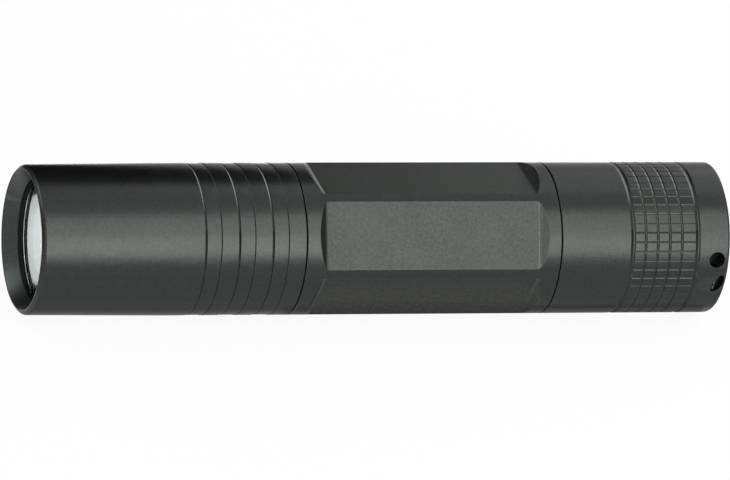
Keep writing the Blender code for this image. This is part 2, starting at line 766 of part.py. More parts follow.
def switch_clamps(parent):
    """What holds the switch in the cap: a slotted ring, the board and a collar."""
    ring = ring_outline(SWITCH_R, SWITCH_R - RING_WALL, RING_THICK, EDGE)
    made = turned("switch_retaining_ring", ring, BRASS, RING_Z, parent)
    slot = box_mesh("ring_slot", 2 * BODY_R, SLOT_WIDTH, 2 * SLOT_DEPTH)
    cutter = bpy.data.objects.new("ring_slot", slot)
    hide_cutter(cutter, parent)
    cutter.location.z = RING_Z - SLOT_DEPTH
    cut(made, cutter)
    board = disc_outline(SWITCH_R, BOARD_THICK, EDGE / 2)
    turned("switch_board", board, BOARD_GREEN, SWITCH_BOARD_Z, parent)
    collar = ring_outline(SWITCH_R, SWITCH_R - SPACER_WALL, SPACER_LENGTH, EDGE)
    turned("switch_spacer", collar, WHITE_PLASTIC, SPACER_Z, parent)


def switch_body(parent):
    """The switch's cup and its lid."""
    inside = HOUSING_R - HOUSING_WALL
    height = COVER_Z - GAP - SPACER_Z
    outline = [
        (0.0, HOUSING_FLOOR),
        (inside, HOUSING_FLOOR),
        (inside, height),
        (HOUSING_R, height),
        (HOUSING_R, 0.0),
        (0.0, 0.0),
    ]
    turned("switch_housing", outline, CHIP_BLACK, SPACER_Z, parent, FINE_STEPS)
    lid = ring_outline(HOUSING_R, PLUNGER_R + GAP, COVER_THICK)
    turned("switch_cover", lid, CHIP_BLACK, COVER_Z, parent, FINE_STEPS)


def switch_plunger(parent):
    """The stem that the boot presses, with a flange caught under the lid."""
    flange = HOUSING_R - HOUSING_WALL - GAP
    length = PLUNGER_TOP_Z - PLUNGER_Z
    outline = [
        (0.0, length),
        (PLUNGER_R - EDGE, length),
        (PLUNGER_R, length - EDGE),
        (PLUNGER_R, PLUNGER_FLANGE),
        (flange, PLUNGER_FLANGE),
        (flange, 0.0),
        (0.0, 0.0),
    ]
    return turned("switch_plunger", outline, WHITE_PLASTIC, PLUNGER_Z, parent, FINE_STEPS)


def springs(head_spring, tail_spring, cap):
    """The spring at each end of the battery and the one that returns the button."""
    coil(
        "driver_spring",
        DRIVER_SPRING_R,
        SPRING_TIP_R,
        SPRING_WIRE_R,
        SPRING_TURNS,
        DRIVER_SPRING_LENGTH,
        DRIVER_SPRING_Z,
        head_spring,
    )
    coil(
        "tail_spring",
        SPRING_TIP_R,
        TAIL_SPRING_R,
        SPRING_WIRE_R,
        SPRING_TURNS,
        TAIL_SPRING_LENGTH,
        TAIL_SPRING_Z,
        tail_spring,
    )
    floor = CAVITY_FLOOR_Z + GAP
    coil(
        "plunger_spring",
        HOUSING_R - HOUSING_WALL - GAP - PLUNGER_SPRING_WIRE_R,
        PLUNGER_R / 2,
        PLUNGER_SPRING_WIRE_R,
        PLUNGER_SPRING_TURNS,
        PLUNGER_Z - GAP - floor,
        floor,
        cap,
    )


clear_scene()
PARTS = collection("led_flashlight")
CUTTERS = collection("cutters")

ANODISED = material("anodised_aluminium", (0.058, 0.064, 0.060), 0.45, 0.6)
GLASS = material("window_glass", (0.85, 0.90, 0.88), 0.05, 0.0)
MIRROR_COAT = material("reflector_coat", (0.90, 0.91, 0.92), 0.08, 1.0)
RUBBER = material("black_rubber", (0.02, 0.02, 0.02), 0.7, 0.0)
WHITE_PLASTIC = material("white_plastic", (0.80, 0.80, 0.77), 0.5, 0.0)
CERAMIC = material("led_ceramic", (0.85, 0.85, 0.82), 0.4, 0.0)
PHOSPHOR = material("led_phosphor", (0.90, 0.75, 0.20), 0.2, 0.0)
BOARD_WHITE = material("star_board", (0.75, 0.76, 0.74), 0.35, 0.0)
BOARD_GREEN = material("circuit_board", (0.03, 0.20, 0.08), 0.4, 0.0)
BRASS = material("turned_brass", (0.75, 0.58, 0.28), 0.3, 1.0)
CHIP_BLACK = material("moulded_black", (0.025, 0.025, 0.028), 0.5, 0.0)
LEAD_RED = material("red_lead", (0.45, 0.03, 0.02), 0.45, 0.0)
LEAD_BLACK = material("black_lead", (0.02, 0.02, 0.02), 0.45, 0.0)
SPRING_STEEL = material("plated_steel", (0.75, 0.74, 0.70), 0.25, 1.0)
CELL_WRAP = material("cell_wrap", (0.05, 0.12, 0.30), 0.35, 0.0)

axis = empty("flashlight_axis", None)
axis.location.z = AXIS_HEIGHT
axis.rotation_euler.y = pi / 2
head = empty("head_axis", axis)
cap = empty("tail_cap_axis", axis)
button = empty("button_axis", cap)
head_contact = empty("head_contact_axis", axis)
tail_contact = empty("tail_contact_axis", axis)

body_tube(axis)
SEAL_MIDDLE = SEAL_GROOVE_PLACE + SEAL_GROOVE_WIDTH / 2
neck_seal("head_o_ring", HEAD_JOINT - SEAL_MIDDLE, axis)
neck_seal("tail_o_ring", CAP_JOINT + SEAL_MIDDLE, axis)
battery(axis)

head_shell(head)
lens(head)
lens_o_ring(head)
reflector(head)
emitter(head)
led_pill(head)
led_lead("led_lead_positive", 1, LEAD_RED, head)
led_lead("led_lead_negative", -1, LEAD_BLACK, head)
driver(head)

tail_cap(cap)
switch_clamps(cap)
switch_body(cap)
switch_boot(button)
switch_plunger(button)
springs(head_contact, tail_contact, cap)
bpy.context.view_layer.update()
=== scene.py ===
"""An LED flashlight that lies on a pale floor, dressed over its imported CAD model.

Sizes are in metres, in the frame's own axes: the light lies along X with its head towards -X.
Most pieces are turned about the light's axis from outlines of (x, radius) points.
"""

from math import atan2, cos, hypot, pi, radians, sin, tan, tau

import bmesh
import bpy
from mathutils import Matrix, Vector


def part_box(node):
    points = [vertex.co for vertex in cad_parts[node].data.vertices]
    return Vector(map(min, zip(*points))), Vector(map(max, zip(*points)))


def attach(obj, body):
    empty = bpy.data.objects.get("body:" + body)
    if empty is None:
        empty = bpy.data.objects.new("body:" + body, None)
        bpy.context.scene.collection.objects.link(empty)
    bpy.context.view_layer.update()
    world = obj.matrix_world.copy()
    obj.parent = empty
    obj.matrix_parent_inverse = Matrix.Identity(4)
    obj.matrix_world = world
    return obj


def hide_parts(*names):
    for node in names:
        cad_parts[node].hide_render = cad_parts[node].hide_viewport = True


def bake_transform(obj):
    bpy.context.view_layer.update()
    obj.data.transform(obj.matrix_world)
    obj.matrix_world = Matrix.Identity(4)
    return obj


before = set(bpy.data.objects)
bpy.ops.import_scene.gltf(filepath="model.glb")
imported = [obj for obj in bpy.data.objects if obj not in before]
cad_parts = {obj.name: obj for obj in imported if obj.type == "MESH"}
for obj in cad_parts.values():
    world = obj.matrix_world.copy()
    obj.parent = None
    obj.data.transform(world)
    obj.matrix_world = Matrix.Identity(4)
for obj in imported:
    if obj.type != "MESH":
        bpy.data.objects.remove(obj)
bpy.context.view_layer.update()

MM = 0.001

# How many steps go round a turned piece, and the angles past which edges stay sharp or are rounded
STEPS = 192
SHARP_ANGLE = radians(28)
FLAT_SHARP_ANGLE = radians(17)
CAP_SHARP_ANGLE = radians(24)
BEVEL_ANGLE = radians(20)

# Outlines: the radius that counts as the axis, a milled fillet's points, the share of an edge that
# a fillet may take, the fillets of fine and of plain edges, and the chamfer that leads into a bore
ON_AXIS = 1e-7
FILLET_POINTS = 8
FILLET_SHARE = 0.48
FINE_EDGE = 0.03 * MM
PLAIN_EDGE = 0.1 * MM
LEAD_IN = 0.3 * MM

# Places that the frame gives
HEAD_LOW, HEAD_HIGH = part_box("head_shell")
TUBE_LOW, TUBE_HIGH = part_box("body_tube")
CAP_LOW, CAP_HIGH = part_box("tail_cap")
LENS_LOW, LENS_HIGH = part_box("lens")
DISH_LOW, DISH_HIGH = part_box("reflector")
BOOT_LOW, BOOT_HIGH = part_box("switch_boot")
PILL_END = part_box("led_pill")[1].x

AXIS_Z = (HEAD_LOW.z + HEAD_HIGH.z) / 2
BODY_R = (HEAD_HIGH.z - HEAD_LOW.z) / 2
FRONT = HEAD_LOW.x
TAIL = CAP_HIGH.x
JOINT_GAP = 0.3 * MM
SEEN_GAP = 0.19 * MM
EDGE_BREAK = 0.08 * MM
HEAD_JOINT = HEAD_HIGH.x + JOINT_GAP / 2
CAP_JOINT = CAP_LOW.x - JOINT_GAP / 2

# Head: a dished rim, the lip over the window and three shallow recessed bands, which lie between
# BANDS_FROM behind the front and BANDS_END before the rear
TAPER_LENGTH = 24.0 * MM
TAPER_FILLET = 2.0 * MM
FRONT_NARROWING = 0.2 * MM
CREST_R = 11.62 * MM
CREST_OUT = 11.82 * MM
CREST_SLOPE = 0.02 * MM
CREST_FILLET = 0.12 * MM
SHOULDER = 0.5 * MM
SHOULDER_FILLET = 0.3 * MM
DISH_DEPTH = 2.3 * MM
LIP_R = 10.05 * MM
LIP_THICK = 0.8 * MM
HEAD_BORE_R = 10.9 * MM
BAND_PAIRS = 3
GROOVE_PITCH = 2.91 * MM
GROOVE_FIRST = 3.1 * MM
BAND_SINK = 0.06 * MM
BAND_STEP = 0.11 * MM
BAND_CHAMFER = 0.33 * MM
BAND_NOTCH = 0.16 * MM
NOTCH_WIDTH = 0.08 * MM
BANDS_FROM = 20.0 * MM
BANDS_END = 1.0 * MM

# Painted highlights in a paler finish: the grooves' walls down to a depth, where they face the tail
# and lie above a share of the radius, and the rim's crest, facing forwards and below another share
WALL_DEPTH = 0.5 * MM
WALL_FACING = 0.3
WALL_RISE = 0.55
CREST_FACING = 0.85
CREST_INNER = 0.05 * MM
CREST_OUTER = 0.15 * MM
CREST_FALL = 0.25

# Window and the bright dish behind it
WINDOW_EDGE = 0.2 * MM
DISH_OPEN_R = 9.6 * MM
DISH_DEEP_R = 8.0 * MM
DISH_FLARE = 2.2 * MM
DISH_FILLET = 0.8 * MM
DISH_HOLE_R = 2.4 * MM
DISH_BACK_R = 5.4 * MM
DISH_SPIGOT_R = 9.78 * MM
DISH_SPIGOT = 1.0 * MM
DISH_FLANGE = 3.0 * MM
DISH_POINTS = 28
DOME_POINTS = 12

# Threaded necks. THREAD_PROFILE holds the ridge's corners as (share of the pitch, share of the
# depth), and a ridge fades in over one turn divided by THREAD_FADE
NECK_R = 11.2 * MM
NECK_BORE_R = 11.5 * MM
THREAD_PITCH = 1.0 * MM
THREAD_DEPTH = 0.55 * MM
THREAD_BURIED = 0.05 * MM
THREAD_PROFILE = [(-0.42, 0.0), (-0.14, 1.0), (0.14, 1.0), (0.42, 0.0)]
THREAD_STEPS = 72
THREAD_FADE = 4
SEAL_PLACE = 1.4 * MM
SEAL_WIDTH = 1.5 * MM
THREAD_FROM_TIP = 0.8 * MM
THREAD_FROM_JOINT = SEAL_PLACE + SEAL_WIDTH + 0.9 * MM
SEAL_DEPTH = 1.0 * MM
SEAL_SIDES = 20
SEAL_LAND = 0.5 * MM
TUBE_BORE_R = 9.5 * MM
SHADE_RINGS = 9
SHADE_RING_FIRST = 0.6 * MM
SHADE_RING_PITCH = 0.4 * MM

# Milled flats
FLAT_COUNT = 6
FLAT_DEPTH = 1.35 * MM
FLAT_MARGIN = 2.3 * MM
FLAT_RAMP = 1.35 * MM
CAP_MARGIN = 2.15 * MM
CAP_RAMP = 1.25 * MM
FLAT_FILLET = 1.2 * MM
FLAT_BEVEL = 0.07 * MM
CUTTER_RISE = 0.6 * MM
SURFACE_SLACK = 0.01 * MM

# The ramps' painted highlight, a paler finish, lies where they are steep. The flat that faces the
# camera has it at both ends, and the other flats at their front ends
SEEN_FLAT = 1
STEEP = 0.25
STEEP_SEEN = 0.6

# Tail cap: knurled pads between two wide grooves. Where a groove's corners are shares, they are
# shares of its width or, at the wide grooves, of half of it
BAND_START = CAP_JOINT + 12.65 * MM
BAND_LENGTH = 11.5 * MM
EDGE_GROOVE_WIDTH = 0.84 * MM
EDGE_GROOVE_DEPTH = 0.22 * MM
EDGE_GROOVE_FLOOR = (0.55, 0.15)
EDGE_GROOVE_FILLETS = (0.12 * MM, 0.06 * MM, 0.04 * MM, 0.08 * MM)
WALLS_BEFORE = 1.0 * MM
WALLS_AFTER = 0.6 * MM
FIRST_RING = 2.31 * MM
RING_PITCH = 2.145 * MM
RING_COUNT = 4
PAD_ROWS = 50
RING_WIDTH = 0.46 * MM
RING_DEPTH = 0.135 * MM
RING_TAIL_SIDE = 0.3
RING_FLOOR = 0.1
RING_JOINT_SIDE = 0.7
ROW_WIDTH = 0.34 * MM
ROW_DEPTH = 0.082 * MM
ROW_START = radians(27.7)
ROW_OVERRUN = 0.05 * MM
TAIL_ROUND = 1.05 * MM
RECESS_R = 8.3 * MM
RECESS_FILLET = 0.2 * MM
RECESS_CHAMFER = 0.4 * MM
CAVITY_R = 10.6 * MM
CAVITY_END = 0.46
END_WALL = 4.3 * MM

# The cap's lanyard holes and the cord's way between them
CUTTER_SIDES = 48
LANYARD_R = 1.38 * MM
LANYARD_INSET = 2.2 * MM
LANYARD_DEPTH = 3.4 * MM
HOLE_RISE = radians(10.1)
CORD_R = 0.65 * MM
CORD_DEPTH = 1.3 * MM
CORD_RISE = radians(-17)
OVAL_INSET = 1.4 * MM
OVAL_RISE = radians(-10.5)
OVAL_TILT = radians(20)
OVAL_HALF_WIDTH = 0.9 * MM
OVAL_HALF_HEIGHT = 1.8 * MM
OVAL_DEPTH = 1.5 * MM

# Rubber boot
BOOT_R = 7.4 * MM
BOOT_WALL = 1.1 * MM
BOOT_FLANGE = 1.3 * MM
BOOT_CROWN = 1.6 * MM
BOOT_FOOT = 0.6 * MM
BOOT_FILLET = 0.5 * MM
CROWN_POINTS = 16
CROWN_FULLNESS = 0.8

# Return spring of the button
RETURN_WIRE_R = 0.2 * MM
RETURN_TURNS = 3
RETURN_STEPS = 24
WIRE_SIDES = 8

# Camera, fitted to the photograph: the way to it, its roll, its distance and what it looks at
CAMERA_AZIMUTH = radians(-20.62)
CAMERA_ELEVATION = radians(26.45)
CAMERA_ROLL = radians(9.28)
CAMERA_DISTANCE = 1.730
CAMERA_TARGET = Vector((-0.000247, 0.0, 0.012329))
CAMERA_LENS = 511.8
SENSOR_WIDTH = 36.0
CLIP_START = 0.05
CLIP_END = 50.0

# Materials: the values that noise mostly lies between, and how far a plain surface varies
NOISE_LOW = 0.3
NOISE_HIGH = 0.7
TONE_SPREAD = 0.12
FINE_BUMP = 0.05 * MM

# Anodising: its noises' scales per metre, its specks' depth, the pointed edges that are worn, and
# the colours of these and of a grazing reflection
CLOUD_SCALE = 140.0
PIT_SCALE = 5200.0
SPECK_SCALE = 2300.0
SPECK_BUMP = 0.06 * MM
WORN_FROM = 0.515
WORN_FULLY = 0.57
WORN_EDGE = (0.11, 0.112, 0.105)
EDGE_TINT = (0.62, 0.62, 0.62)


def named_material(name):
    """A new node material, its tree and its Principled shader."""
    made = bpy.data.materials.new(name)
    made.use_nodes = True
    tree = made.node_tree
    return made, tree, tree.nodes["Principled BSDF"]


def node(tree, kind, **values):
    """A node with its attributes set."""
    made = tree.nodes.new(kind)
    for key, value in values.items():
        setattr(made, key, value)
    return made


def object_place(tree):
    """The surface's place in the object's own axes."""
    return node(tree, "ShaderNodeTexCoord").outputs["Object"]


def noise(tree, place, scale, detail=3.0, roughness=0.55):
    """A noise texture's value at a place."""
    made = node(tree, "ShaderNodeTexNoise")
    made.inputs["Scale"].default_value = scale
    made.inputs["Detail"].default_value = detail
    made.inputs["Roughness"].default_value = roughness
    tree.links.new(place, made.inputs["Vector"])
    return made.outputs["Fac"]


def ramp(tree, value, stops):
    """A colour ramp over a value, from (position, colour) stops."""
    made = node(tree, "ShaderNodeValToRGB")
    elements = made.color_ramp.elements
    while len(elements) < len(stops):
        elements.new(0.5)
    for element, (position, colour) in zip(elements, stops):
        element.position = position
        element.color = (*colour, 1.0)
    tree.links.new(value, made.inputs["Fac"])
    return made.outputs["Color"]


def spread(tree, value, low, high):
    """A noise's usual values mapped to low and high."""
    made = node(tree, "ShaderNodeMapRange")
    made.inputs["From Min"].default_value = NOISE_LOW
    made.inputs["From Max"].default_value = NOISE_HIGH
    made.inputs["To Min"].default_value = low
    made.inputs["To Max"].default_value = high
    tree.links.new(value, made.inputs["Value"])
    return made.outputs["Result"]


def bump(tree, height, strength, distance, below=None):
    """A bump's normal over another one."""
    made = node(tree, "ShaderNodeBump")
    made.inputs["Strength"].default_value = strength
    made.inputs["Distance"].default_value = distance
    tree.links.new(height, made.inputs["Height"])
    if below is not None:
        tree.links.new(below, made.inputs["Normal"])
    return made.outputs["Normal"]


def anodised(name, dark, light, rough_low, rough_high, grain):
    """Black anodised aluminium, bead blasted: fine pits, soft cloudiness and paler worn edges."""
    made, tree, shader = named_material(name)
    place = object_place(tree)
    clouds = noise(tree, place, CLOUD_SCALE, 4.0)
    pits = noise(tree, place, PIT_SCALE, 2.0)
    specks = noise(tree, place, SPECK_SCALE, 3.0, 0.7)
    tone = ramp(tree, specks, [(NOISE_LOW, dark), (0.72, light)])
    pointed = node(tree, "ShaderNodeNewGeometry").outputs["Pointiness"]
    worn = ramp(tree, pointed, [(WORN_FROM, (0.0, 0.0, 0.0)), (WORN_FULLY, (1.0, 1.0, 1.0))])
    mix = node(tree, "ShaderNodeMix", data_type="RGBA")
    tree.links.new(tone, mix.inputs["A"])
    mix.inputs["B"].default_value = (*WORN_EDGE, 1.0)
    amount = node(tree, "ShaderNodeMath", operation="MULTIPLY")
    tree.links.new(worn, amount.inputs[0])
    tree.links.new(spread(tree, specks, 0.1, 0.55), amount.inputs[1])
    tree.links.new(amount.outputs["Value"], mix.inputs["Factor"])
    tree.links.new(mix.outputs["Result"], shader.inputs["Base Color"])
    tree.links.new(spread(tree, clouds, rough_low, rough_high), shader.inputs["Roughness"])
    fine = bump(tree, pits, grain, FINE_BUMP)
    tree.links.new(bump(tree, specks, grain, SPECK_BUMP, fine), shader.inputs["Normal"])
    shader.inputs["IOR"].default_value = 1.5
    shader.inputs["Metallic"].default_value = 0.92
    shader.inputs["Specular Tint"].default_value = (*EDGE_TINT, 1.0)
    return made


def plain(name, colour, roughness, metallic=0.0, scale=900.0, grain=0.1):
    """A moulded or plated surface: its colour and roughness vary a little."""
    made, tree, shader = named_material(name)
    place = object_place(tree)
    patches = noise(tree, place, scale)
    less = 1 - TONE_SPREAD
    more = 1 + TONE_SPREAD
    low = tuple(value * less for value in colour)
    high = tuple(min(1.0, value * more) for value in colour)
    tone = ramp(tree, patches, [(NOISE_LOW, low), (NOISE_HIGH, high)])
    tree.links.new(tone, shader.inputs["Base Color"])
    rough = spread(tree, patches, roughness * less, min(1.0, roughness * more))
    tree.links.new(rough, shader.inputs["Roughness"])
    shader.inputs["Metallic"].default_value = metallic
    fine = noise(tree, place, scale * 5, 2.0)
    tree.links.new(bump(tree, fine, grain, FINE_BUMP), shader.inputs["Normal"])
    return made


def turned_metal(name, colour, roughness):
    """Bare metal with fine rings left by the lathe."""
    made, tree, shader = named_material(name)
    place = object_place(tree)
    stretch = node(tree, "ShaderNodeMapping")
    stretch.inputs["Scale"].default_value = (9000.0, 60.0, 60.0)
    tree.links.new(place, stretch.inputs["Vector"])
    rings = noise(tree, stretch.outputs["Vector"], 1.0, 2.0)
    low = tuple(value * 0.85 for value in colour)
    tree.links.new(ramp(tree, rings, [(0.35, low), (0.65, colour)]), shader.inputs["Base Color"])
    tree.links.new(spread(tree, rings, roughness * 0.8, roughness * 1.2), shader.inputs["Roughness"])
    shader.inputs["Metallic"].default_value = 1.0
    tree.links.new(bump(tree, rings, 0.1, 0.02 * MM), shader.inputs["Normal"])
    return made


def window_glass():
    """Clear coated glass."""
    made, tree, shader = named_material("window_glass")
    place = object_place(tree)
    faint = noise(tree, place, 300.0)
    tree.links.new(spread(tree, faint, 0.0, 0.02), shader.inputs["Roughness"])
    shader.inputs["Base Color"].default_value = (0.97, 0.99, 0.985, 1.0)
    shader.inputs["Transmission Weight"].default_value = 1.0
    shader.inputs["IOR"].default_value = 1.46
    return made


def mirror_coat():
    """The dish's bright vacuum coating, a little wavy."""
    made, tree, shader = named_material("mirror_coat")
    place = object_place(tree)
    waves = noise(tree, place, 260.0, 2.0)
    stops = [(NOISE_LOW, (0.86, 0.88, 0.89)), (NOISE_HIGH, (0.95, 0.96, 0.97))]
    tone = ramp(tree, waves, stops)
    tree.links.new(tone, shader.inputs["Base Color"])
    tree.links.new(spread(tree, waves, 0.05, 0.11), shader.inputs["Roughness"])
    shader.inputs["Metallic"].default_value = 1.0
    tree.links.new(bump(tree, waves, 0.2, 0.2 * MM), shader.inputs["Normal"])
    return made


# Anodised finishes: darkest and lightest colour, lowest and highest roughness, and grain
HEAD_FINISH = anodised(
    "black_anodise", (0.033, 0.037, 0.034), (0.044, 0.048, 0.045), 0.26, 0.31, 0.2
)
FLAT_FINISH = anodised(
    "milled_anodise", (0.034, 0.038, 0.035), (0.051, 0.055, 0.051), 0.38, 0.44, 0.35
)
# A paler copy of the anodising, which paints highlights on lit walls, ramps and the rim's crest
PAINTED_HIGHLIGHT_FINISH = anodised(
    "painted_highlight_anodise", (0.09, 0.093, 0.085), (0.125, 0.128, 0.118), 0.24, 0.30, 0.2
)
CONE_FINISH = anodised(
    "dish_anodise", (0.042, 0.047, 0.044), (0.058, 0.064, 0.06), 0.30, 0.36, 0.3
)
GLASS = window_glass()
MIRROR = mirror_coat()
RUBBER = plain("black_rubber", (0.018, 0.018, 0.018), 0.62, scale=1500.0, grain=0.25)
WHITE_PLASTIC = plain("white_plastic", (0.80, 0.80, 0.77), 0.45)
CERAMIC = plain("led_ceramic", (0.86, 0.86, 0.83), 0.35, scale=4000.0)
PHOSPHOR = plain("led_phosphor", (0.86, 0.70, 0.12), 0.18, scale=5000.0)
BOARD_WHITE = plain("star_board", (0.74, 0.75, 0.73), 0.32, scale=2500.0)
BOARD_GREEN = plain("circuit_board", (0.03, 0.20, 0.08), 0.38, scale=1200.0)
CHIP_BLACK = plain("moulded_black", (0.022, 0.022, 0.025), 0.5, scale=3000.0)
LEAD_RED = plain("red_lead", (0.45, 0.03, 0.02), 0.4)
LEAD_BLACK = plain("black_lead", (0.02, 0.02, 0.02), 0.4)
CELL_WRAP = plain("cell_wrap", (0.05, 0.12, 0.30), 0.3, scale=400.0)
STEEL = plain("plated_steel", (0.75, 0.74, 0.70), 0.22, 1.0, scale=1800.0)
BRASS = turned_metal("turned_brass", (0.75, 0.58, 0.28), 0.28)


def filleted(outline, closed):
    """Round each (x, radius, fillet) corner of an outline into a short curve."""
    points = []
    count = len(outline)
    for index, (x, radius, fillet) in enumerate(outline):
        corner = Vector((x, radius))
        ends = not closed and index in (0, count - 1)
        if fillet == 0 or ends:
            points.append(corner)
            continue
        before = Vector(outline[index - 1][:2]) - corner
        after = Vector(outline[(index + 1) % count][:2]) - corner
        reach = min(fillet, before.length * FILLET_SHARE, after.length * FILLET_SHARE)
        start = corner + before.normalized() * reach
        end = corner + after.normalized() * reach
        for step in range(FILLET_POINTS // 2 + 1):
            share = step / (FILLET_POINTS // 2)
            lead = start.lerp(corner, share)
            points.append(lead.lerp(corner.lerp(end, share), share))
    return points


def shade(mesh, angle=SHARP_ANGLE):
    """Smooth shading with the edges sharp that bend more than an angle."""
    mesh.shade_smooth()
    mesh.set_sharp_from_angle(angle=angle)


def finish_mesh(name, work, materials):
    """Turn a bmesh into a smooth-shaded object with sharp edges kept."""
    bmesh.ops.recalc_face_normals(work, faces=work.faces)
    mesh = bpy.data.meshes.new(name)
    work.to_mesh(mesh)
    work.free()
    shade(mesh)
    made = bpy.data.objects.new(name, mesh)
    bpy.context.scene.collection.objects.link(made)
    for material in materials:
        mesh.materials.append(material)
    return made


def even_angles(steps=STEPS):
    """Equal angles round the axis."""
    return [tau * index / steps for index in range(steps)]


def turned_mesh(outline, angles, sink=None):
    """A lathe mesh: the outline's points, each given all the angles.

    An outline that starts and ends on the axis makes a solid, and any other a closed ring. sink
    gives how far below the body's surface a point has to lie, from its x and its angle.
    """
    work = bmesh.new()
    rings = []
    for x, radius in outline:
        if radius < ON_AXIS:
            rings.append([work.verts.new((x, 0.0, AXIS_Z))])
            continue
        ring = []
        for angle in angles:
            lower = sink(x, angle) if sink else 0.0
            real = min(radius, BODY_R - lower) if lower else radius
            ring.append(work.verts.new((x, -real * cos(angle), AXIS_Z + real * sin(angle))))
        rings.append(ring)
    closed = len(rings[0]) > 1
    pairs = list(zip(rings, rings[1:])) + ([(rings[-1], rings[0])] if closed else [])
    for one, other in pairs:
        count = max(len(one), len(other))
        for index in range(count):
            following = (index + 1) % count
            face = [one[index % len(one)], other[index % len(other)]]
            if len(other) > 1:
                face.append(other[following])
            if len(one) > 1:
                face.append(one[following])
            work.faces.new(face)
    return work


def turned(name, outline, materials, angles=None, sink=None):
    """A turned piece from (x, radius, fillet) corners."""
    closed = outline[0][1] > 0
    points = filleted(outline, closed)
    return finish_mesh(name, turned_mesh(points, angles or even_angles(), sink), materials)


def off_axis(place):
    """A place's distance from the light's axis."""
    return hypot(place.y, place.z - AXIS_Z)


def apply_modifiers(made):
    """Put the modifiers' result into the object's mesh."""
    bpy.context.view_layer.update()
    graph = bpy.context.evaluated_depsgraph_get()
    mesh = bpy.data.meshes.new_from_object(made.evaluated_get(graph))
    made.modifiers.clear()
    made.data = mesh


def cut(made, cutters):
    """Take the cutters' shapes out of a piece, and then remove the cutters."""
    for cutter in cutters:
        tool = made.modifiers.new(cutter.name, "BOOLEAN")
        tool.operation = "DIFFERENCE"
        tool.solver = "EXACT"
        tool.material_mode = "TRANSFER"
        tool.object = cutter
    apply_modifiers(made)
    for cutter in cutters:
        bpy.data.objects.remove(cutter, do_unlink=True)


def even_shading(made):
    """Even out a piece's shading, and apply this with its other modifiers."""
    shading = made.modifiers.new("shading", "WEIGHTED_NORMAL")
    shading.keep_sharp = True
    apply_modifiers(made)


def soften_edges(made, width):
    """Round a piece's sharp edges and even out its shading."""
    rounding = made.modifiers.new("rounding", "BEVEL")
    rounding.width = width
    rounding.segments = 2
    rounding.limit_method = "ANGLE"
    rounding.angle_limit = BEVEL_ANGLE
    rounding.use_clamp_overlap = True
    rounding.harden_normals = False
    even_shading(made)


def round_again(made):
    """Give the faces that lie on the outer cylinder its own normals again."""
    mesh = made.data
    axis = Vector((0.0, 0.0, AXIS_Z))
    normals = [corner.vector.copy() for corner in mesh.corner_normals]
    for face in mesh.polygons:
        outward = [mesh.vertices[index].co - axis for index in face.vertices]
        for way in outward:
            way.x = 0.0
        nearest = min(off_axis(face.center), *(way.length for way in outward))
        if nearest > BODY_R - SURFACE_SLACK:
            for loop, way in zip(face.loop_indices, outward):
                normals[loop] = way.normalized()
    mesh.normals_split_custom_set(normals)


def dress(made, body, slot, *nodes):
    """Put a piece on its body and hide the CAD nodes that it stands for; slot is not used."""
    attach(made, body)
    if nodes:
        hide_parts(*nodes)
    return made


def recessed_bands():
    """The head's outline over its three recessed bands, from the rear one forwards.

    Each band's rear edge is a small step, and its front edge is a chamfer over a fine notch.
    """
    outline = []
    for index in range(BAND_PAIRS):
        rear = HEAD_JOINT - GROOVE_FIRST - 2 * index * GROOVE_PITCH
        front = rear - GROOVE_PITCH
        outline += [
            (rear + NOTCH_WIDTH, BODY_R, FINE_EDGE),
            (rear, BODY_R - BAND_STEP, 0.0),
            (rear - NOTCH_WIDTH, BODY_R - BAND_SINK, FINE_EDGE),
            (front + BAND_CHAMFER + NOTCH_WIDTH, BODY_R - BAND_SINK, FINE_EDGE),
            (front + BAND_CHAMFER, BODY_R - BAND_NOTCH, 0.0),
            (front, BODY_R, FINE_EDGE),
        ]
    return outline


def add_finish(made, finish):
    """Give a mesh one more material, and return that material's index."""
    made.data.materials.append(finish)
    return len(made.data.materials) - 1


def paint_wall_highlights(made, low, high):
    """Paint a highlight on the grooves' tailward walls between two places: a paler finish on their
    upper side.
    """
    edges = add_finish(made, PAINTED_HIGHLIGHT_FINISH)
    for face in made.data.polygons:
        centre = face.center
        wall = off_axis(centre) > BODY_R - WALL_DEPTH and face.normal.x > WALL_FACING
        if wall and low < centre.x < high and centre.z > AXIS_Z + WALL_RISE * BODY_R:
            face.material_index = edges


def paint_crest_highlight(made):
    """Paint a highlight on the rim's crest: the paler finish on its lower side."""
    edges = made.data.materials.find(PAINTED_HIGHLIGHT_FINISH.name)
    for face in made.data.polygons:
        ring = CREST_R - CREST_INNER < off_axis(face.center) < CREST_OUT + CREST_OUTER
        lower = face.center.z < AXIS_Z - CREST_FALL * BODY_R
        if ring and lower and face.normal.x < -CREST_FACING:
            face.material_index = edges


def line_dish(made):
    """Give the dish in the head's front its own finish."""
    cone = add_finish(made, CONE_FINISH)
    for face in made.data.polygons:
        inside = LIP_R < off_axis(face.center) < CREST_R - CREST_INNER
        if inside and face.center.x < FRONT + DISH_DEPTH:
            face.material_index = cone


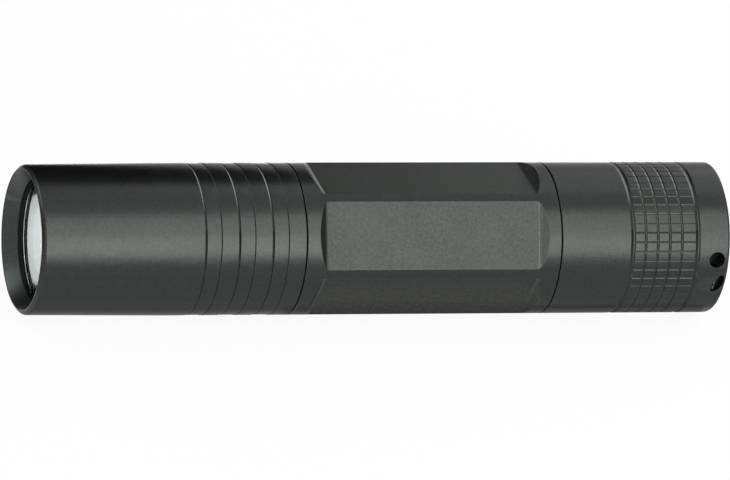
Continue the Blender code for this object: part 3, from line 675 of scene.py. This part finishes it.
def head_shell():
    """The head: a dished rim, the lip over the window and the recessed bands."""
    rear = HEAD_HIGH.x + JOINT_GAP - SEEN_GAP
    front_r = BODY_R - FRONT_NARROWING
    outline = [(rear, BODY_R - EDGE_BREAK, 0.0), (rear - EDGE_BREAK, BODY_R, FINE_EDGE)]
    outline += recessed_bands()
    outline += [
        (FRONT + TAPER_LENGTH, BODY_R, TAPER_FILLET),
        (FRONT + SHOULDER, front_r, SHOULDER_FILLET),
        (FRONT, CREST_OUT, CREST_FILLET),
        (FRONT + CREST_SLOPE, CREST_R, PLAIN_EDGE),
        (FRONT + DISH_DEPTH, LIP_R, PLAIN_EDGE),
        (FRONT + DISH_DEPTH + LIP_THICK, LIP_R, 0.0),
        (FRONT + DISH_DEPTH + LIP_THICK, HEAD_BORE_R, 0.0),
        (PILL_END, HEAD_BORE_R, 0.0),
        (PILL_END, NECK_BORE_R, 0.0),
        (rear - LEAD_IN, NECK_BORE_R, 0.0),
        (rear, NECK_BORE_R + LEAD_IN, 0.0),
    ]
    made = turned("head_turned", outline, [HEAD_FINISH])
    # Painted highlights: the bands' tail-facing walls on their upper side, the crest on its lower
    # side
    paint_wall_highlights(made, FRONT + BANDS_FROM, HEAD_HIGH.x - BANDS_END)
    paint_crest_highlight(made)
    line_dish(made)
    return dress(made, "head", "anodised", "head_shell")


def flat_cutter(index):
    """A bar with sloping, filleted ends that mills one of the flats."""
    floor = BODY_R - FLAT_DEPTH
    top = BODY_R + CUTTER_RISE
    low = HEAD_JOINT + FLAT_MARGIN + FLAT_RAMP
    high = CAP_JOINT - CAP_MARGIN - CAP_RAMP
    side = []
    for corner, way, run in ((low, 1, FLAT_RAMP), (high, -1, CAP_RAMP)):
        steep = atan2(FLAT_DEPTH, run)
        tangent = FLAT_FILLET * tan(steep / 2)
        end = [(corner - way * (top - floor) / tan(steep), top)]
        for step in range(FILLET_POINTS):
            angle = steep * (1 - step / (FILLET_POINTS - 1))
            x = corner + way * (tangent - FLAT_FILLET * sin(angle))
            end.append((x, floor + FLAT_FILLET * (1 - cos(angle))))
        side += end if way == 1 else end[::-1]
    half_flat = (BODY_R**2 - floor**2) ** 0.5
    half_width = (half_flat + floor * tan(pi / FLAT_COUNT)) / 2
    work = bmesh.new()
    caps = [[work.verts.new((x, y, z)) for x, z in side] for y in (-half_width, half_width)]
    work.faces.new(caps[0])
    work.faces.new(caps[1][::-1])
    for step in range(len(side)):
        following = (step + 1) % len(side)
        work.faces.new([caps[0][step], caps[0][following], caps[1][following], caps[1][step]])
    made = finish_mesh(f"flat_cutter_{index}", work, [FLAT_FINISH, PAINTED_HIGHLIGHT_FINISH])
    # Steep ramp faces take the painted highlight finish: both ends of the flat that faces the
    # camera, the front ends of the others
    seen = index == SEEN_FLAT
    for face in made.data.polygons:
        forward = face.center.x < 0
        steep = STEEP_SEEN if seen and forward else STEEP
        face.material_index = int(abs(face.normal.x) > steep and (forward or seen))
    turn = Matrix.Rotation(tau * index / FLAT_COUNT, 4, "X")
    made.matrix_world = Matrix.Translation((0.0, 0.0, AXIS_Z)) @ turn
    return made


def neck(tip, joint, way, ease):
    """Half a tube end's outline, from its tip to the body, under the thread.

    ease brings the shoulder nearer to the joint than the CAD has it.
    """
    root = NECK_R - THREAD_DEPTH
    near = joint - way * SEAL_PLACE
    far = near - way * SEAL_WIDTH
    shoulder = joint + way * (JOINT_GAP / 2 - ease)
    return [
        (tip, root - LEAD_IN, 0.0),
        (tip + way * LEAD_IN, root, 0.0),
        (far - way * SEAL_LAND, root, 0.0),
        (far - way * SEAL_LAND, NECK_R, 0.0),
        (far, NECK_R, PLAIN_EDGE / 2),
        (far, NECK_R - SEAL_DEPTH, PLAIN_EDGE),
        (near, NECK_R - SEAL_DEPTH, PLAIN_EDGE),
        (near, NECK_R, PLAIN_EDGE / 2),
        (shoulder, NECK_R, PLAIN_EDGE),
        (shoulder, BODY_R - EDGE_BREAK, 0.0),
        (shoulder + way * EDGE_BREAK, BODY_R, 0.0),
    ]


def body_tube():
    """The battery tube with its six flats."""
    rear = neck(TUBE_HIGH.x, CAP_JOINT, -1, JOINT_GAP - SEEN_GAP)
    front = neck(TUBE_LOW.x, HEAD_JOINT, 1, 0.0)
    bore = [
        (TUBE_LOW.x, TUBE_BORE_R + LEAD_IN, 0.0),
        (TUBE_LOW.x + LEAD_IN, TUBE_BORE_R, 0.0),
        (TUBE_HIGH.x - LEAD_IN, TUBE_BORE_R, 0.0),
        (TUBE_HIGH.x, TUBE_BORE_R + LEAD_IN, 0.0),
    ]
    steps = [SHADE_RING_FIRST + SHADE_RING_PITCH * index for index in range(SHADE_RINGS)]
    rings = [(CAP_JOINT - step, BODY_R, 0.0) for step in steps]
    rings += [(HEAD_JOINT + step, BODY_R, 0.0) for step in steps[::-1]]
    outline = rear + rings + front[::-1] + bore
    made = turned("tube_milled", outline, [HEAD_FINISH, FLAT_FINISH])
    cut(made, [flat_cutter(index) for index in range(FLAT_COUNT)])
    shade(made.data, FLAT_SHARP_ANGLE)
    soften_edges(made, FLAT_BEVEL)
    round_again(made)
    return dress(made, "barrel", "anodised", "body_tube")


def thread(name, start, end):
    """A trapezoid ridge wound along a neck from start to end."""
    turns = abs(end - start) / THREAD_PITCH
    count = int(turns * THREAD_STEPS)
    root = NECK_R - THREAD_DEPTH - THREAD_BURIED
    sides = len(THREAD_PROFILE)
    work = bmesh.new()
    rings = []
    for step in range(count + 1):
        share = step / count
        angle = tau * turns * share
        rise = min(1.0, share * turns * THREAD_FADE, (1 - share) * turns * THREAD_FADE)
        x = start + (end - start) * share
        ring = []
        for along, up in THREAD_PROFILE:
            radius = root + (THREAD_DEPTH + THREAD_BURIED) * up * rise
            place = (x + along * THREAD_PITCH, radius * cos(angle), AXIS_Z + radius * sin(angle))
            ring.append(work.verts.new(place))
        rings.append(ring)
    for one, other in zip(rings, rings[1:]):
        for index in range(sides):
            following = (index + 1) % sides
            work.faces.new([one[index], one[following], other[following], other[index]])
    work.faces.new(rings[0])
    work.faces.new(rings[-1][::-1])
    return dress(finish_mesh(name, work, [HEAD_FINISH]), "barrel", "anodised")


def knurl_angles():
    """Angles round the cap: each row's groove has its middle and two sides, each pad its crown."""
    half = ROW_WIDTH / 2 / BODY_R
    pitch = tau / PAD_ROWS
    angles = []
    for row in range(PAD_ROWS):
        middle = row * pitch + ROW_START - pitch / 2
        angles += [middle - half, middle, middle + half]
        room = pitch - 2 * half
        angles += [middle + half + room * share for share in (0.25, 0.5, 0.75)]
    return angles


def row_sink(x, angle):
    """How far the knurl's row grooves lie below the cap's surface."""
    start = BAND_START + EDGE_GROOVE_WIDTH / 2 - ROW_OVERRUN
    end = BAND_START + BAND_LENGTH - EDGE_GROOVE_WIDTH / 2 + ROW_OVERRUN
    if not start < x < end:
        return 0.0
    pitch = tau / PAD_ROWS
    offset = (angle - ROW_START + pitch) % pitch - pitch / 2
    return ROW_DEPTH if abs(offset) * BODY_R < ROW_WIDTH / 4 else 0.0


def knurl_outline():
    """The cap's outline over the knurled band, from its tail end to its joint end."""
    outline = wide_groove(BAND_START + BAND_LENGTH)
    for index in range(RING_COUNT - 1, -1, -1):
        centre = BAND_START + FIRST_RING + RING_PITCH * index
        outline += [
            (centre + RING_WIDTH * RING_TAIL_SIDE, BODY_R, FINE_EDGE),
            (centre + RING_WIDTH * RING_FLOOR, BODY_R - RING_DEPTH, 0.0),
            (centre, BODY_R - RING_DEPTH, 0.0),
            (centre - RING_WIDTH * RING_JOINT_SIDE, BODY_R, FINE_EDGE),
        ]
    return outline + wide_groove(BAND_START)


def wide_groove(centre):
    """A flat-bottomed groove at one edge of the band, its wall on the joint side the flatter one."""
    half = EDGE_GROOVE_WIDTH / 2
    low_r = BODY_R - EDGE_GROOVE_DEPTH
    shares = (1.0, *EDGE_GROOVE_FLOOR, -1.0)
    radii = (BODY_R, low_r, low_r, BODY_R)
    return [
        (centre + half * share, radius, fillet)
        for share, radius, fillet in zip(shares, radii, EDGE_GROOVE_FILLETS)
    ]


def cap_point(inset, rise, radius):
    """A place inset from the cap's tail end, rise above its -Y side."""
    return Vector((TAIL - inset, -radius * cos(rise), AXIS_Z + radius * sin(rise)))


def rod_cutter(name, radius, start, end):
    """A rod between two points that cuts."""
    work = bmesh.new()
    way = end - start
    sizes = {"radius1": radius, "radius2": radius, "depth": way.length}
    bmesh.ops.create_cone(work, cap_ends=True, segments=CUTTER_SIDES, **sizes)
    made = finish_mesh(name, work, [HEAD_FINISH])
    turn = way.to_track_quat("Z", "Y").to_matrix().to_4x4()
    made.matrix_world = Matrix.Translation((start + end) / 2) @ turn
    return made


def oval_cutter():
    """A deep oval bowl that cuts the cord's way out."""
    work = bmesh.new()
    halves = CUTTER_SIDES // 2
    bmesh.ops.create_uvsphere(work, u_segments=CUTTER_SIDES, v_segments=halves, radius=1.0)
    made = finish_mesh("cord_way_out", work, [HEAD_FINISH])
    lift = Matrix.Rotation(-OVAL_RISE, 4, "X") @ Matrix.Rotation(OVAL_TILT, 4, "Y")
    made.matrix_world = (
        Matrix.Translation(cap_point(OVAL_INSET, OVAL_RISE, BODY_R))
        @ lift
        @ Matrix.Diagonal((OVAL_HALF_WIDTH, OVAL_DEPTH, OVAL_HALF_HEIGHT, 1.0))
    )
    return made


def lanyard_cutters():
    """The round lanyard hole, the oval one and the cord's channel between them."""
    hole = [
        cap_point(LANYARD_INSET, HOLE_RISE, radius)
        for radius in (BODY_R + LANYARD_DEPTH, BODY_R - LANYARD_DEPTH)
    ]
    channel = [
        cap_point(LANYARD_INSET, rise, BODY_R - CORD_DEPTH)
        for rise in (HOLE_RISE, CORD_RISE)
    ]
    return [
        rod_cutter("lanyard_hole", LANYARD_R, *hole),
        rod_cutter("cord_channel", CORD_R, *channel),
        oval_cutter(),
    ]


def tail_cap():
    """The knurled cap with its open tail and lanyard holes."""
    end_wall = TAIL - END_WALL
    start = CAP_LOW.x
    cavity = start + (TAIL - start) * CAVITY_END
    outline = [(TAIL, BODY_R - TAIL_ROUND, 0.0), (TAIL, BODY_R, TAIL_ROUND)]
    outline += knurl_outline()
    outline += [
        (start + EDGE_BREAK, BODY_R, FINE_EDGE),
        (start, BODY_R - EDGE_BREAK, 0.0),
        (start, NECK_BORE_R + LEAD_IN, 0.0),
        (start + LEAD_IN, NECK_BORE_R, 0.0),
        (cavity, NECK_BORE_R, 0.0),
        (cavity, CAVITY_R, 0.0),
        (end_wall, CAVITY_R, 0.0),
        (end_wall, RECESS_R, RECESS_FILLET),
        (TAIL - RECESS_CHAMFER, RECESS_R, PLAIN_EDGE),
        (TAIL, RECESS_R + RECESS_CHAMFER, PLAIN_EDGE),
    ]
    made = turned("cap_knurled", outline, [HEAD_FINISH], knurl_angles(), row_sink)
    cut(made, lanyard_cutters())
    # Painted highlights on the rings' tail-facing walls, on their upper side
    paint_wall_highlights(made, BAND_START - WALLS_BEFORE, BAND_START + BAND_LENGTH + WALLS_AFTER)
    shade(made.data, CAP_SHARP_ANGLE)
    even_shading(made)
    return dress(made, "tail_cap", "anodised", "tail_cap")


def window():
    """The clear window."""
    radius = (LENS_HIGH.z - LENS_LOW.z) / 2
    outline = [
        (LENS_LOW.x, 0.0, 0.0),
        (LENS_LOW.x, radius, WINDOW_EDGE),
        (LENS_HIGH.x, radius, WINDOW_EDGE),
        (LENS_HIGH.x, 0.0, 0.0),
    ]
    return dress(turned("window", outline, [GLASS]), "head", "window", "lens")


def reflector():
    """The bright dish: a flared mouth over a paraboloid, its rim and its flange."""
    mouth = DISH_LOW.x
    throat = mouth + DISH_FLARE
    flange_r = (DISH_HIGH.z - DISH_LOW.z) / 2
    focal = (DISH_DEEP_R**2 - DISH_HOLE_R**2) / (4 * (DISH_HIGH.x - throat))
    outline = [
        (DISH_HIGH.x, DISH_BACK_R, 0.0),
        (mouth + DISH_FLANGE, DISH_OPEN_R, 0.0),
        (mouth + DISH_FLANGE, flange_r, 0.0),
        (mouth + DISH_SPIGOT, flange_r, 0.0),
        (mouth + DISH_SPIGOT, DISH_SPIGOT_R, 0.0),
        (mouth, DISH_SPIGOT_R, 0.0),
        (mouth, DISH_OPEN_R, 0.0),
        (throat, DISH_DEEP_R, DISH_FILLET),
    ]
    for index in range(1, DISH_POINTS + 1):
        radius = DISH_DEEP_R + (DISH_HOLE_R - DISH_DEEP_R) * index / DISH_POINTS
        outline.append((throat + (DISH_DEEP_R**2 - radius**2) / (4 * focal), radius, 0.0))
    return dress(turned("dish_coated", outline, [MIRROR]), "head", "reflector_coat", "reflector")


def seal(name, cad_node, body):
    """A round rubber ring in its groove, from the box of its CAD node."""
    low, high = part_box(cad_node)
    section = (high.x - low.x) / 2
    middle = (low.x + high.x) / 2
    centre = (high.z - low.z) / 2 - section
    ring = [
        (middle + section * cos(turn), centre + section * sin(turn), 0.0)
        for turn in even_angles(SEAL_SIDES)
    ]
    return dress(turned(name, ring, [RUBBER]), body, "rubber", cad_node)


def led_dome():
    """The emitter's clear dome over its phosphor."""
    low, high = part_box("led_dome")
    radius = (high.z - low.z) / 2
    outline = [(high.x, 0.0, 0.0)]
    for index in range(DOME_POINTS):
        turn = pi / 2 * index / DOME_POINTS
        outline.append((high.x - (high.x - low.x) * sin(turn), radius * cos(turn), 0.0))
    outline.append((low.x, 0.0, 0.0))
    return dress(turned("emitter_dome", outline, [PHOSPHOR]), "head", "phosphor", "led_dome")


def crown(radius, top):
    """Outline points of a low dome with a rounded shoulder, from its middle to its side."""
    side = top - BOOT_CROWN
    points = [(top, 0.0, 0.0)]
    for index in range(1, CROWN_POINTS):
        turn = pi / 2 * index / CROWN_POINTS
        points.append((side + BOOT_CROWN * cos(turn) ** CROWN_FULLNESS, radius * sin(turn), 0.0))
    return points + [(side, radius, 0.0)]


def move_with_button(made, cad_node):
    """Hide a piece's CAD node and bake the piece's placement into its mesh."""
    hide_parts(cad_node)
    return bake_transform(made)


def button_boot():
    """The rubber boot, with its flange and its dome."""
    top = BOOT_HIGH.x
    low = BOOT_LOW.x
    flange = low + BOOT_FLANGE
    flange_r = (BOOT_HIGH.z - BOOT_LOW.z) / 2
    outline = crown(BOOT_R, top)
    outline += [
        (flange + BOOT_FOOT, BOOT_R, BOOT_FILLET),
        (flange, BOOT_R, 0.0),
        (flange, flange_r, PLAIN_EDGE),
        (low, flange_r, PLAIN_EDGE),
        (low, BOOT_R - BOOT_WALL, 0.0),
    ]
    outline += crown(BOOT_R - BOOT_WALL, top - BOOT_WALL)[::-1]
    made = turned("button_boot", outline, [RUBBER])
    return move_with_button(made, "switch_boot")


def return_spring():
    """The stem's conical spring, from its wide end to its narrow tip."""
    low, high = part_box("plunger_spring")
    stem_low, stem_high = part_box("switch_plunger")
    wide = (high.z - low.z) / 2 - RETURN_WIRE_R
    narrow = (stem_high.z - stem_low.z) / 4
    work = bmesh.new()
    loops = []
    count = RETURN_TURNS * RETURN_STEPS
    for index in range(count + 1):
        part = index / count
        angle = tau * RETURN_TURNS * part
        radius = wide + (narrow - wide) * part
        x = low.x + RETURN_WIRE_R + (high.x - low.x - 2 * RETURN_WIRE_R) * part
        loop = []
        for side in even_angles(WIRE_SIDES):
            out = radius + RETURN_WIRE_R * cos(side)
            place = (x + RETURN_WIRE_R * sin(side), out * cos(angle), AXIS_Z + out * sin(angle))
            loop.append(work.verts.new(place))
        loops.append(loop)
    for last, loop in zip(loops, loops[1:]):
        for side in range(WIRE_SIDES):
            after = (side + 1) % WIRE_SIDES
            work.faces.new([last[side], last[after], loop[after], loop[side]])
    work.faces.new(loops[0])
    work.faces.new(loops[-1])
    made = finish_mesh("return_spring", work, [STEEL])
    return move_with_button(made, "plunger_spring")


NODE_FINISHES = {
    "centering_ring": WHITE_PLASTIC,
    "battery_insulator": WHITE_PLASTIC,
    "switch_spacer": WHITE_PLASTIC,
    "switch_plunger": WHITE_PLASTIC,
    "led_package": CERAMIC,
    "led_star_board": BOARD_WHITE,
    "led_pill": BRASS,
    "driver_retaining_ring": BRASS,
    "switch_retaining_ring": BRASS,
    "led_lead_positive": LEAD_RED,
    "led_lead_negative": LEAD_BLACK,
    "driver_board": BOARD_GREEN,
    "switch_board": BOARD_GREEN,
    "driver_inductor": CHIP_BLACK,
    "driver_controller": CHIP_BLACK,
    "driver_transistor": CHIP_BLACK,
    "switch_housing": CHIP_BLACK,
    "switch_cover": CHIP_BLACK,
    "driver_spring": STEEL,
    "tail_spring": STEEL,
    "battery_button": STEEL,
    "battery_cell": CELL_WRAP,
}


def dress_nodes():
    """Give the CAD nodes that stay their procedural materials."""
    for name, finish in NODE_FINISHES.items():
        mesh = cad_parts[name].data
        mesh.materials.clear()
        mesh.materials.append(finish)


def camera():
    """The camera at the photograph's angle."""
    level = Vector((cos(CAMERA_AZIMUTH), sin(CAMERA_AZIMUTH), 0.0))
    away = Vector((sin(CAMERA_AZIMUTH), -cos(CAMERA_AZIMUTH), 0.0))
    back = away * cos(CAMERA_ELEVATION) + Vector((0.0, 0.0, sin(CAMERA_ELEVATION)))
    upright = back.cross(level)
    right = cos(CAMERA_ROLL) * level + sin(CAMERA_ROLL) * upright
    up = -sin(CAMERA_ROLL) * level + cos(CAMERA_ROLL) * upright
    lens = bpy.data.cameras.new("camera")
    lens.sensor_fit = "HORIZONTAL"
    lens.sensor_width = SENSOR_WIDTH
    lens.lens = CAMERA_LENS
    lens.clip_start = CLIP_START
    lens.clip_end = CLIP_END
    made = bpy.data.objects.new("camera", lens)
    bpy.context.scene.collection.objects.link(made)
    turn = Matrix((right, up, back)).transposed().to_4x4()
    made.matrix_world = Matrix.Translation(CAMERA_TARGET + back * CAMERA_DISTANCE) @ turn
    bpy.context.scene.camera = made


def softbox(name, way, distance, wide, high, radiance):
    """A soft rectangular lamp that looks at the object from a direction."""
    lamp = bpy.data.lights.new(name, "AREA")
    lamp.shape = "RECTANGLE"
    lamp.size = wide
    lamp.size_y = high
    lamp.energy = radiance * pi * wide * high
    made = bpy.data.objects.new(name, lamp)
    bpy.context.scene.collection.objects.link(made)
    direction = Vector(way).normalized()
    made.location = CAMERA_TARGET + direction * distance
    made.rotation_euler = direction.to_track_quat("Z", "Y").to_euler()
    made.visible_camera = False


def seen_share(tree, share):
    """A node's value: share for rays from the camera or off gloss and glass, and 0 for the rest."""
    rays = node(tree, "ShaderNodeLightPath")
    first = node(tree, "ShaderNodeMath", operation="MAXIMUM")
    both = node(tree, "ShaderNodeMath", operation="MAXIMUM")
    scaled = node(tree, "ShaderNodeMath", operation="MULTIPLY")
    tree.links.new(rays.outputs["Is Camera Ray"], first.inputs[0])
    tree.links.new(rays.outputs["Is Glossy Ray"], first.inputs[1])
    tree.links.new(first.outputs["Value"], both.inputs[0])
    tree.links.new(rays.outputs["Is Transmission Ray"], both.inputs[1])
    tree.links.new(both.outputs["Value"], scaled.inputs[0])
    scaled.inputs[1].default_value = share
    return scaled.outputs["Value"]


def world_light():
    """A white surround that lights the object softly."""
    world = bpy.data.worlds.new("surround")
    bpy.context.scene.world = world
    world.use_nodes = True
    tree = world.node_tree
    background = tree.nodes["Background"]
    background.inputs["Color"].default_value = (1.0, 1.0, 1.0, 1.0)
    strength = node(tree, "ShaderNodeMath", operation="ADD")
    strength.inputs[0].default_value = AMBIENT
    tree.links.new(seen_share(tree, 1.0 - AMBIENT), strength.inputs[1])
    tree.links.new(strength.outputs["Value"], background.inputs["Strength"])


def floor():
    """The pale floor, which keeps the object's shadow."""
    work = bmesh.new()
    bmesh.ops.create_grid(work, x_segments=4, y_segments=4, size=FLOOR_HALF)
    made = finish_mesh("floor", work, [floor_finish()])
    made.location.z = -2 * CARD_DEPTH


def floor_finish():
    """White paper that reads as white to the camera, with a faint shadow."""
    made, tree, shader = named_material("white_paper")
    shader.inputs["Roughness"].default_value = 0.9
    shader.inputs["Specular IOR Level"].default_value = 0.0
    tint = noise(tree, object_place(tree), 3.0)
    stops = [(NOISE_LOW, (0.89, 0.89, 0.89)), (NOISE_HIGH, (0.91, 0.91, 0.91))]
    tone = ramp(tree, tint, stops)
    tree.links.new(tone, shader.inputs["Base Color"])
    glow = node(tree, "ShaderNodeEmission")
    mix = node(tree, "ShaderNodeMixShader")
    tree.links.new(seen_share(tree, FLOOR_GLOW), mix.inputs["Fac"])
    tree.links.new(shader.outputs["BSDF"], mix.inputs[1])
    tree.links.new(glow.outputs["Emission"], mix.inputs[2])
    tree.links.new(mix.outputs["Shader"], tree.nodes["Material Output"].inputs["Surface"])
    return made


def studio_card(name, level, corners):
    """A flat card that only glossy rays meet, which gives off an even light of some level."""
    made, tree, shader = named_material(name)
    shader.inputs["Base Color"].default_value = (0.0, 0.0, 0.0, 1.0)
    shader.inputs["Specular IOR Level"].default_value = 0.0
    shader.inputs["Roughness"].default_value = 1.0
    shader.inputs["Emission Color"].default_value = (1.0, 1.0, 1.0, 1.0)
    shader.inputs["Emission Strength"].default_value = level
    work = bmesh.new()
    work.faces.new([work.verts.new(corner) for corner in corners])
    card = finish_mesh(name, work, [made])
    card.visible_camera = False
    card.visible_diffuse = False
    card.visible_shadow = False
    card.visible_transmission = False


def rectangle(left, right, near, far):
    """A rectangle's corners in its own plane."""
    return [(left, near), (right, near), (right, far), (left, far)]


# The surround's light on matt surfaces, half the floor's width, and how much of the floor's white
# is its own when the camera, gloss or glass sees it
AMBIENT = 0.6
FLOOR_HALF = 6.0
FLOOR_GLOW = 0.93

# Soft lamps: the way to each from the object, its distance, width, height and radiance
SOFTBOXES = {
    "front_box": ((0.315, -0.845, 0.431), 0.60, 0.62, 0.87, 2.17),
    "low_box": ((0.16, -0.93, 0.20), 0.55, 0.32, 0.36, 1.7),
    "back_box": ((0.79, 0.54, 0.27), 0.55, 0.50, 0.34, 1.4),
    "tail_box": ((0.50, 0.47, 0.74), 0.40, 0.24, 0.32, 0.7),
    "rear_box": ((-0.50, 0.82, 0.28), 0.60, 0.40, 0.22, 2.4),
}

# Cards that stand behind the light: their level of light and their (x, z) corners
BACK_CARD_Y = 0.12
CARD_TOP = 0.26
BACK_SLOPE = [(-0.025, 0), (0.01, 0.06), (0.028, 0.082), (0.048, 0.1), (0.05, 0.12), (0.085, 0.155)]
BACK_CARDS = {
    "back_card": (0.0, [(-0.09, 0), *BACK_SLOPE, (0.085, CARD_TOP), (-0.09, CARD_TOP)]),
    "cone_card": (0.15, rectangle(-0.22, -0.09, 0, CARD_TOP)),
}

# Cards that stand across the light's axis: their x, their level and their (y, z) corners
END_CARDS = {
    "side_card": (0.4, 0.2, rectangle(-0.3, 0.08, 0, 0.3)),
    "rim_card": (-0.3, 0.02, rectangle(-0.03, 0.3, 0, 0.095)),
    "shoulder_glow": (-0.15, 5.0, [(0.012, 0.066), (0.1, 0.078), (0.1, 0.115), (0.012, 0.09)]),
}

# Cards that lie on the floor: their level and their (x, y) corners. CARD_DEPTH is how far below
# z = 0 they lie, and the floor lies twice as deep
CARD_DEPTH = 0.01 * MM
CONTACT_NEAR = -0.0095
CONTACT_FAR = 0.03
GLOW_END = -0.0605
FLOOR_CARDS = {
    # The first two cards paint the light's contact shadow: dimmer than the floor's glow, gloss sees
    # them under the light
    "painted_head_contact_shadow": (0.7, rectangle(FRONT, HEAD_JOINT, CONTACT_NEAR, CONTACT_FAR)),
    "painted_contact_shadow": (0.48, rectangle(HEAD_JOINT, TAIL, CONTACT_NEAR, CONTACT_FAR)),
    "rim_glow": (1.3, rectangle(-0.076, GLOW_END, -0.016, -0.004)),
    "back_glow": (3.0, rectangle(-0.055, 0.1, 0.035, 0.115)),
    "dish_glow": (1.7, rectangle(-0.07, GLOW_END, 0.006, 0.022)),
}


def studio():
    """The floor, the surround, the soft lamps and the cards."""
    world_light()
    floor()
    for name, (way, distance, wide, high, radiance) in SOFTBOXES.items():
        softbox(name, way, distance, wide, high, radiance)
    for name, (level, corners) in BACK_CARDS.items():
        studio_card(name, level, [(x, BACK_CARD_Y, z) for x, z in corners])
    for name, (x, level, corners) in END_CARDS.items():
        studio_card(name, level, [(x, y, z) for y, z in corners])
    for name, (level, corners) in FLOOR_CARDS.items():
        studio_card(name, level, [(x, y, -CARD_DEPTH) for x, y in corners])


head_shell()
window()
reflector()
seal("window_seal", "lens_o_ring", "head")
led_dome()
body_tube()
thread("head_thread", TUBE_LOW.x + THREAD_FROM_TIP, HEAD_JOINT - THREAD_FROM_JOINT)
thread("cap_thread", TUBE_HIGH.x - THREAD_FROM_TIP, CAP_JOINT + THREAD_FROM_JOINT)
seal("head_seal", "head_o_ring", "barrel")
seal("cap_seal", "tail_o_ring", "barrel")
tail_cap()
button_boot()
return_spring()
dress_nodes()
studio()
camera()

bpy.context.scene.view_settings.view_transform = "Standard"
